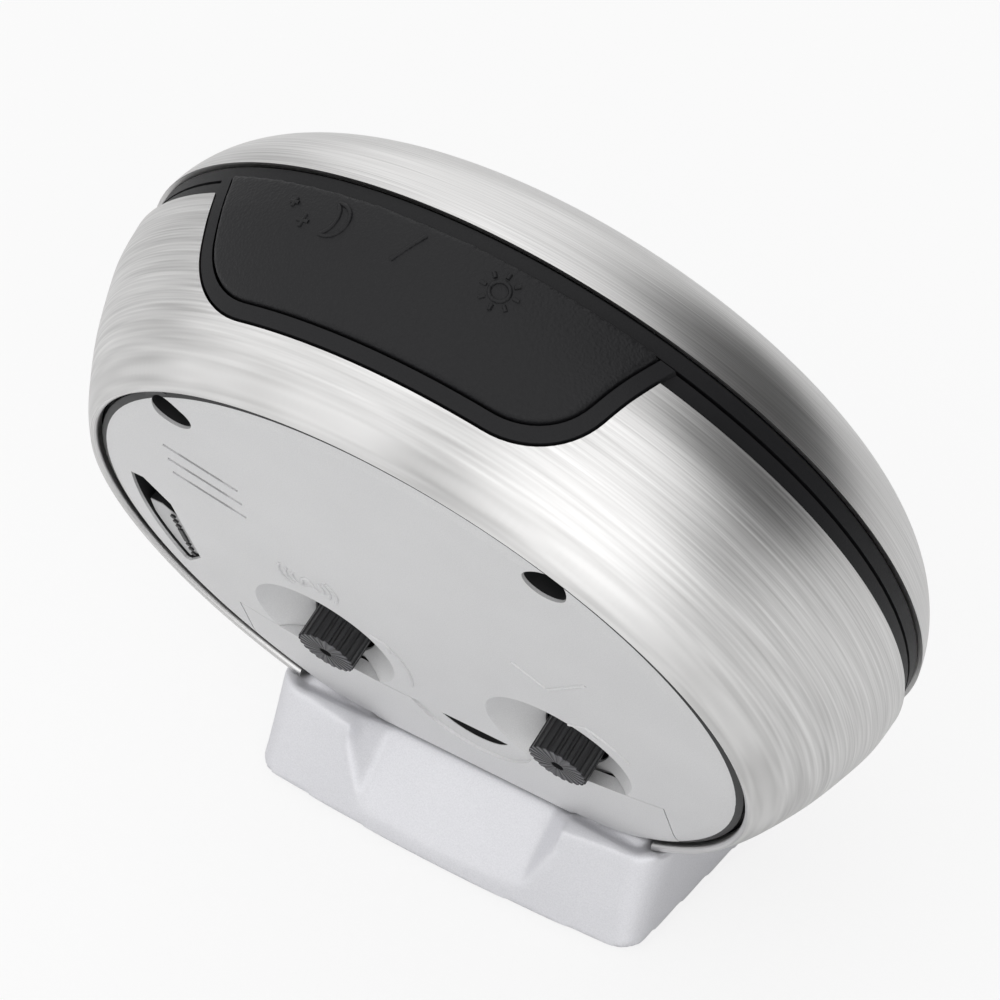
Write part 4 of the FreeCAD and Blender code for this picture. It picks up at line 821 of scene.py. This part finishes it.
@dataclass
class SteelSkin:
    """The bezel and the rear shell, in millimetres of the case."""

    rim_r: float = 50.0
    shoulder: tuple[float, float] = (47.5, -6.0)
    nose: tuple[float, float] = (42.2, -10.3)
    lip_r: float = 41.0
    sheet: float = 0.8
    lens_pocket_r: float = 42.75
    lens_y: float = -9.0
    shell_y0: float = 4.4
    shell: tuple[tuple[float, float], ...] = (
        (50.2, 0.0), (49.8, 3.8), (48.6, 7.8), (47.1, 11.8), (45.1, 15.8), (43.6, 18.3))
    shell_end: tuple[float, float] = (42.2, 24.45)
    shell_lip: tuple[float, float] = (41.6, 23.75)
    neck_half: float = 25.0
    neck_y: float = 16.5
    neck_z: float = -30.0

    def build(self) -> None:
        """Makes both pieces."""
        self.bezel()
        self.rear_shell()

    def bezel(self) -> None:
        """Turns the domed front ring with its rolled lip."""
        outer = arc_through((self.rim_r, 0.0), self.shoulder, self.nose, 36)
        roll = arc_through(self.nose, (self.lip_r + 0.45, self.nose[1] - 0.08),
                           (self.lip_r, self.nose[1] + 0.5), 6)
        inner = arc_through((self.lens_pocket_r, self.lens_y),
                            (self.shoulder[0] - self.sheet, self.shoulder[1] + 0.5),
                            (self.rim_r - self.sheet, 0.0), 16)
        profile = [*outer, *roll[1:], (self.lip_r, self.lens_y), *inner]
        ring = plain_object("bezel_ring", spun(profile, 288))
        dress(ring, "steel", "case", ["front_bezel"], space=Draw.CASE)

    def rear_shell(self) -> None:
        """Turns the deep rear shell and cuts the button's window and the foot's neck out of it."""
        line = [(radius, self.shell_y0 + y) for radius, y in self.shell]
        outer = smooth_through([*line, self.shell_end], 7)
        roll = arc_through(self.shell_end, (self.shell_end[0] - 0.35, self.shell_end[1] - 0.12), self.shell_lip, 5)
        inner = [(radius - self.sheet, y) for radius, y in outer[:-4]]
        profile = [*outer, *roll[1:], (self.shell_lip[0] + 0.1, self.shell_lip[1] - 0.9), *reversed(inner)]
        shell = plain_object("rear_shell_skin", spun(profile, 288))
        window = SnoozeButton().outline(2.1, self.shell_y0 - 1.0)
        opening = prism([Vector((x, y, 20.0)) for x, y in window], Vector((0, 0, 40.0)))
        half = self.neck_half
        corners = [(-half, self.neck_y), (half, self.neck_y), (half, 27.0), (-half, 27.0)]
        neck = prism([Vector((x, y, -60.0)) for x, y in corners], Vector((0, 0, 60.0 + self.neck_z)))
        cut(shell, [opening, neck])
        dress(shell, "steel", "case", ["rear_shell"], space=Draw.CASE)


@dataclass
class SnoozeButton:
    """The long button over the top and the marks sunk into it."""

    front_x: float = 25.8
    rear_x: float = 20.6
    y0: float = 2.2
    y1: float = 15.3
    corner: float = 8.5
    proud: float = 0.35
    voxel: float = 0.28
    stroke: float = 0.24

    def outline(self, margin: float, front_y: float) -> list[tuple[float, float]]:
        """Draws the button's outline from above.

        Args:
            margin: How far it is widened.
            front_y: Where it is squared off at the front.

        Returns:
            The outline's points in x and y.
        """
        slope = (self.front_x - self.rear_x) / (self.y1 - self.y0)
        rear_y = self.y1 + margin
        front_x = self.front_x + margin - slope * (front_y - self.y0)
        corner = Vector((self.front_x + margin - slope * (rear_y - self.y0), rear_y))
        to_front = (Vector((front_x, front_y)) - corner).normalized()
        to_middle = Vector((-1.0, 0.0))
        half = to_front.angle(to_middle) / 2
        radius = self.corner + margin
        reach = radius / math.tan(half)
        middle = corner + (to_front + to_middle).normalized() * (radius / math.sin(half) - radius)
        side = arc_through(tuple(corner + to_front * reach), tuple(middle), tuple(corner + to_middle * reach), 14)
        mirrored = [(-x, y) for x, y in reversed(side)]
        return [(-front_x, front_y), (front_x, front_y), *side, *mirrored]

    def lift(self, x: float, y: float) -> Vector:
        """Puts a point of the plan onto the button's curved top.

        Args:
            x: Its place across the button.
            y: Its place along the case's axis.

        Returns:
            The point on the top.
        """
        skin = SteelSkin()
        line = smooth_through([(radius, skin.shell_y0 + step) for radius, step in skin.shell], 7)
        radius = line[0][0]
        for (r0, ya), (r1, yb) in zip(line, line[1:]):
            if ya <= y <= yb:
                radius = r0 + (r1 - r0) * (y - ya) / (yb - ya)
        radius += self.proud
        return Vector((x, y, math.sqrt(radius * radius - x * x)))

    def build(self) -> None:
        """Makes the cap with soft edges and its raised pictures."""
        cap = plain_object("snooze_cap", copy_of("snooze_button"))
        net = cap.modifiers.new("net", "REMESH")
        net.mode = "VOXEL"
        net.voxel_size = self.voxel * MM
        settle(cap)
        soften(cap, 5)
        dress(cap, "button", "snooze_button", ["snooze_button"], 60.0)
        marks = beads("button_marks", self.marks(), self.stroke)
        dress(marks, "button", "snooze_button", space=Draw.CASE, sharp=60.0)

    def marks(self) -> list[list[Vector]]:
        """Draws a sun, a slash, a crescent moon and two stars along the button's front edge.

        Returns:
            Lines on the button's top.
        """
        plan: list[list[tuple[float, float]]] = []
        middle = 5.4
        sun = (-10.5, middle)
        plan.append(ring_line(sun, 1.05))
        for index in range(8):
            angle = index * FULL_TURN / 8
            plan.append([(sun[0] + reach * math.cos(angle), sun[1] + reach * math.sin(angle))
                         for reach in (1.5, 2.15)])
        plan.append([(-1.0, middle - 1.9), (0.0, middle), (1.0, middle + 1.9)])
        moon = (9.4, middle)
        upper, lower = (moon[0] + 0.5, middle + 1.9), (moon[0] + 0.5, middle - 1.9)
        outer = arc_through(upper, (moon[0] - 1.9, middle), lower, 16)
        inner = arc_through(lower, (moon[0] - 0.55, middle), upper, 12)
        plan.append([*outer, *inner[1:]])
        for x, y, size in ((12.6, middle + 1.0, 0.75), (14.9, middle - 0.8, 0.55)):
            plan.append([(x - size, y), (x + size, y)])
            plan.append([(x, y - size), (x, y + size)])
        return [[self.lift(x, y) for x, y in line] for line in plan]


def ring_line(centre: tuple[float, float], radius: float, count: int = 24) -> list[tuple[float, float]]:
    """Returns the points of a closed ring."""
    return [(centre[0] + radius * math.cos(FULL_TURN * i / count),
             centre[1] + radius * math.sin(FULL_TURN * i / count)) for i in range(count + 1)]


def soften(thing: bpy.types.Object, rounds: int, factor: float = 0.5, above: float = -1.0) -> None:
    """Rounds a mesh's edges by smoothing its vertices, where they lie above a height.

    Args:
        thing: The object.
        rounds: How often its vertices are smoothed.
        factor: How far each moves towards its neighbours' middle.
        above: The height in metres.
    """
    bm = bmesh.new()
    bm.from_mesh(thing.data)
    verts = [vert for vert in bm.verts if vert.co.z > above]
    for _ in range(rounds):
        bmesh.ops.smooth_vert(bm, verts=verts, factor=factor, use_axis_x=True, use_axis_y=True, use_axis_z=True)
    bm.to_mesh(thing.data)
    bm.free()


@dataclass
class Foot:
    """The cast foot with soft lobes."""

    voxel: float = 0.5
    rounds: int = 6
    crisp_below: float = 2.2

    def build(self) -> None:
        """Makes the foot from its solid, with its edges cast round."""
        foot = plain_object("cast_foot", copy_of("foot"))
        net = foot.modifiers.new("net", "REMESH")
        net.mode = "VOXEL"
        net.voxel_size = self.voxel * MM
        settle(foot)
        soften(foot, self.rounds, above=self.crisp_below * MM)
        dress(foot, "foot", "case", ["foot"], 70.0)


@dataclass
class RearCover:
    """The silver cover, its door and the lines moulded on them."""

    y: float = 24.3
    knob_x: float = 16.0
    knob_z: float = -17.6
    knob_r: float = 3.75
    dish_z: float = -14.6
    dish_r: float = 9.5
    dish_depth: float = 4.6
    stroke: float = 0.22
    edge: float = 0.22

    def ball_r(self) -> float:
        """Returns the radius of the ball that a dish is part of."""
        return (self.dish_r ** 2 + self.dish_depth ** 2) / (2 * self.dish_depth)

    def build(self) -> None:
        """Makes the cover, the door and the signs."""
        self.moulding("rear_cover_moulding", "rear_cover", "case", "cover")
        self.moulding("battery_door_moulding", "battery_door", "battery_door", "door")
        signs = beads("cover_signs", self.signs(), self.stroke)
        dress(signs, "cover", "case", space=Draw.CASE, sharp=60.0)

    def moulding(self, name: str, node: str, body: str, finish: str) -> None:
        """Copies a node's mesh and rounds its sharp edges a little.

        Args:
            name: The piece's name.
            node: The node that it is copied from.
            body: The body that it rides on.
            finish: The finish's name on the rack.
        """
        bm = copy_of(node)
        bmesh.ops.dissolve_limit(bm, angle_limit=math.radians(0.6), verts=bm.verts[:], edges=bm.edges[:])
        piece = plain_object(name, bm)
        soft = piece.modifiers.new("edge", "BEVEL")
        soft.width = self.edge * MM
        soft.segments = 2
        soft.limit_method = "ANGLE"
        soft.angle_limit = math.radians(32)
        soft.use_clamp_overlap = True
        soft.harden_normals = False
        settle(piece)
        flat = piece.modifiers.new("normals", "WEIGHTED_NORMAL")
        flat.keep_sharp = True
        dress(piece, finish, body, [node], 40.0)

    def at(self, x: float, z: float) -> Vector:
        """Returns a point on the cover's face."""
        return Vector((x, self.y, z))

    def signs(self) -> list[list[Vector]]:
        """Draws the ringing mark, the two turning arrows and the clock-hands mark.

        Returns:
            Lines on the cover's face.
        """
        lines = []
        ring_x, ring_z = 14.4, -0.6
        for reach in (2.1, 3.0, 3.9):
            for side in (-1, 1):
                tilt = math.pi / 2 - side * math.pi / 2
                turns = [tilt + math.radians(a) for a in range(-38, 39, 8)]
                lines.append([self.at(ring_x + reach * math.cos(turn), ring_z + reach * math.sin(turn))
                              for turn in turns])
        lines.append([self.at(ring_x + x, ring_z + z) for x, z in (
            (-1.2, -1.0), (-0.8, -0.5), (-0.7, 0.4), (0.0, 1.2), (0.7, 0.4), (0.8, -0.5), (1.2, -1.0),
            (-1.2, -1.0))])
        for side in (-1, 1):
            lines += self.arrow(side)
        lines.append([self.at(-14.0, 5.3), self.at(-17.7, 2.3)])
        lines.append([self.at(-18.0, 2.1), self.at(-24.0, 8.6)])
        lines.append([self.at(-18.6, 2.6), self.at(-23.4, 8.0)])
        return lines

    def arrow(self, side: int) -> list[list[Vector]]:
        """Draws a turning arrow beside a knob's dish.

        Args:
            side: -1 for the arrow beyond the time knob, 1 for the one inside the alarm knob.

        Returns:
            The arrow's arc and its head.
        """
        centre_x = self.knob_x if side > 0 else -self.knob_x
        centre_z = self.dish_z
        reach = self.dish_r + 2.4
        start, end = (148, 196) if side > 0 else (118, 150)
        arc = [self.at(centre_x + reach * math.cos(math.radians(a)), centre_z + reach * math.sin(math.radians(a)))
               for a in range(start, end + 1, 4)]
        tip = arc[0]
        barb = self.at(tip.x + 1.9, tip.z + 0.6) if side > 0 else self.at(tip.x + 2.4, tip.z - 1.4)
        other = self.at(tip.x - 0.2, tip.z - 2.1) if side > 0 else self.at(tip.x - 1.0, tip.z - 2.2)
        return [arc, [barb, tip, other]]


@dataclass
class Dial:
    """The printed dial: numerals, minute track and quarter bars."""

    face_y: float = -1.62
    numeral_r: float = 29.0
    numeral_size: float = 7.0
    track_r: float = 36.2
    lift: float = 0.05

    def build(self) -> None:
        """Makes the numerals and the minute track."""
        self.numerals()
        self.track()

    def numerals(self) -> None:
        """Prints 1 to 12 round the dial, upright."""
        whole = bmesh.new()
        for hour in range(1, 13):
            text = bpy.data.curves.new(f"numeral_{hour}", "FONT")
            text.body = str(hour)
            text.size = self.numeral_size
            text.align_x = "CENTER"
            text.align_y = "CENTER"
            text.extrude = self.lift
            shape = bpy.data.objects.new(f"numeral_{hour}", text)
            bpy.context.scene.collection.objects.link(shape)
            bpy.context.view_layer.update()
            mesh = bpy.data.meshes.new_from_object(shape.evaluated_get(bpy.context.evaluated_depsgraph_get()))
            bpy.data.objects.remove(shape)
            angle = FULL_TURN * hour / 12
            place = Vector((self.numeral_r * math.sin(angle), self.face_y, self.numeral_r * math.cos(angle)))
            mesh.transform(Matrix.Translation(place) @ Matrix.Rotation(math.pi / 2, 4, "X"))
            whole.from_mesh(mesh)
        dress(plain_object("dial_numerals", whole), "print", "case", space=Draw.CASE)

    def track(self) -> None:
        """Prints the minute track, with a longer bar at each hour."""
        whole = bmesh.new()
        for minute in range(60):
            hour = minute % 5 == 0
            size = Vector((0.75, self.lift * 2, 3.0)) if hour else Vector((0.28, self.lift * 2, 1.3))
            turn = Matrix.Rotation(FULL_TURN * minute / 60, 4, "Y")
            place = turn @ Matrix.Translation((0.0, self.face_y, self.track_r - size.z / 2))
            bmesh.ops.create_cube(whole, size=1.0, matrix=place @ Matrix.Diagonal((*size, 1.0)))
        dress(plain_object("dial_minute_track", whole), "print", "case", space=Draw.CASE)


@dataclass
class Carried:
    """The nodes whose own shape is right, each with its finish."""

    finishes: dict[str, str] = field(default_factory=lambda: {
        "lens": "pane", "dial": "dial", "dial_ring": "band", "dial_lamp": "lamp", "front_housing": "band",
        "rear_housing": "band", "button_board": "laminate", "snooze_switch": "nickel", "battery": "cell",
        "battery_contact_plus": "nickel", "battery_contact_minus": "nickel", "battery_spring": "nickel",
        "alarm_switch": "slide", "alarm_switch_contacts": "white", "buzzer": "chip", "cover_screws": "nickel",
        "alarm_knob": "knob", "time_knob": "knob", "setting_wheel": "natural", "alarm_hand": "red",
        "hour_hand": "hand", "minute_hand": "hand", "second_hand": "hand", "third_wheel": "natural",
        "centre_wheel": "white", "step_wheel": "white", "rotor": "white", "movement_front_plate": "white",
        "movement_case": "chip", "circuit_board": "laminate", "driver_chip": "chip", "quartz_crystal": "nickel",
        "stator": "nickel", "stepper_coil": "copper", "foot_pads": "rubber", "foot_screws": "nickel"})

    def build(self) -> None:
        """Puts the finishes into the nodes' slots."""
        for node, finish in self.finishes.items():
            thing = frame["nodes"][node]
            if not thing.material_slots:
                thing.data.materials.append(RACK[finish])
            for place in thing.material_slots:
                place.material = RACK[finish]
            log.info("%s: finish %s", node, finish)


@dataclass
class Studio:
    """The pale floor, the lamps and the camera."""

    focal_px: float = 3214.0
    frame_px: float = 1000.0
    sensor_mm: float = 36.0
    position: tuple[float, float, float] = (-0.1415, 0.2173, 0.2975)
    right: tuple[float, float, float] = (-0.8366, -0.5478, 0.0053)
    forward: tuple[float, float, float] = (0.3935, -0.6077, -0.6898)
    floor_half: float = 2.0
    world_grey: float = 0.62
    shade_towards: tuple[float, float, float] = (-0.80, -0.56, 0.20)
    shade: float = 0.93

    def build(self) -> None:
        """Makes the stage."""
        self.camera()
        self.floor()
        self.world()
        self.lamp("lamp_over", (-0.05, 0.10, 1.05), (0.0, 0.0, 0.05), 1.6, 4.2)
        self.lamp("lamp_rear_left", (0.75, 0.75, 0.50), (0.0, 0.0, 0.05), 1.3, 2.6)
        self.lamp("lamp_rear_right", (-0.75, 0.85, 0.40), (0.0, 0.0, 0.05), 1.1, 3.6)
        self.lamp("lamp_front", (0.45, -0.95, 0.70), (0.0, 0.0, 0.05), 1.3, 2.4)

    def camera(self) -> None:
        """Stands the camera where the photograph was taken from."""
        data = bpy.data.cameras.new("camera")
        data.sensor_width = self.sensor_mm
        data.lens = self.focal_px / self.frame_px * self.sensor_mm
        data.clip_start = 0.01
        thing = bpy.data.objects.new("camera", data)
        back = -Vector(self.forward).normalized()
        up = back.cross(Vector(self.right)).normalized()
        right = up.cross(back)
        turn = Matrix((right, up, back)).transposed().to_4x4()
        thing.matrix_world = Matrix.Translation(self.position) @ turn
        bpy.context.scene.collection.objects.link(thing)
        bpy.context.scene.camera = thing

    def floor(self) -> None:
        """Lays a plain pale floor."""
        bm = bmesh.new()
        bmesh.ops.create_grid(bm, x_segments=1, y_segments=1, size=self.floor_half)
        floor = plain_object("floor", bm)
        graph = Graph("floor_pale")
        seen = graph.node("ShaderNodeLightPath").outputs["Is Camera Ray"]
        matte = graph.node("ShaderNodeBsdfDiffuse", None, {"Color": (0.88, 0.88, 0.88, 1.0)})
        glow = graph.node("ShaderNodeEmission", None, {"Color": (1.0, 1.0, 1.0, 1.0), "Strength": 1.0})
        share = Wire(graph, seen) * 0.82
        mixed = graph.node("ShaderNodeMixShader", None, {0: share, 1: matte.outputs[0], 2: glow.outputs[0]})
        graph.tree.links.new(mixed.outputs[0], graph.output.inputs[0])
        floor.data.materials.append(graph.material)

    def world(self) -> None:
        """Gives the world a soft grey light that is darker on one side, and a white look to the camera."""
        world = bpy.data.worlds.new("studio")
        bpy.context.scene.world = world
        world.use_nodes = True
        tree = world.node_tree
        tree.nodes.clear()
        out = tree.nodes.new("ShaderNodeOutputWorld")
        path = tree.nodes.new("ShaderNodeLightPath")
        soft = tree.nodes.new("ShaderNodeBackground")
        heading = tree.nodes.new("ShaderNodeTexCoord").outputs["Generated"]
        facing = tree.nodes.new("ShaderNodeVectorMath")
        facing.operation = "DOT_PRODUCT"
        tree.links.new(heading, facing.inputs[0])
        facing.inputs[1].default_value = Vector(self.shade_towards).normalized()
        grey = tree.nodes.new("ShaderNodeMapRange")
        grey.interpolation_type = "SMOOTHSTEP"
        tree.links.new(facing.outputs["Value"], grey.inputs[0])
        for index, value in enumerate((0.30, 0.88, self.world_grey, self.world_grey * (1 - self.shade))):
            grey.inputs[index + 1].default_value = value
        tree.links.new(grey.outputs[0], soft.inputs["Color"])
        white = tree.nodes.new("ShaderNodeBackground")
        white.inputs["Color"].default_value = (1.0, 1.0, 1.0, 1.0)
        mix = tree.nodes.new("ShaderNodeMixShader")
        tree.links.new(path.outputs["Is Camera Ray"], mix.inputs[0])
        tree.links.new(soft.outputs[0], mix.inputs[1])
        tree.links.new(white.outputs[0], mix.inputs[2])
        tree.links.new(mix.outputs[0], out.inputs[0])

    def lamp(self, name: str, place: tuple[float, float, float], target: tuple[float, float, float],
             size: float, power: float) -> None:
        """Hangs a square soft lamp that faces a target.

        Args:
            name: The lamp's name.
            place: Where it hangs, in metres.
            target: The point that it faces.
            size: The length of its side in metres.
            power: Its watts.
        """
        data = bpy.data.lights.new(name, "AREA")
        data.size = size
        data.energy = power
        thing = bpy.data.objects.new(name, data)
        facing = Vector(target) - Vector(place)
        thing.matrix_world = Matrix.Translation(place) @ facing.to_track_quat("-Z", "Y").to_matrix().to_4x4()
        bpy.context.scene.collection.objects.link(thing)


def main() -> None:
    """Builds the clock's pieces in order."""
    logging.basicConfig(level=logging.INFO, format="%(name)s: %(message)s")
    bpy.context.scene.view_settings.view_transform = "Standard"
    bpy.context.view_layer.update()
    for part in (SteelSkin(), SnoozeButton(), RearCover(), Foot(), Dial(), Carried(), Studio()):
        part.build()
        log.info("%s done", type(part).__name__)
    bpy.context.view_layer.update()


if __name__ == "__main__":
    main()
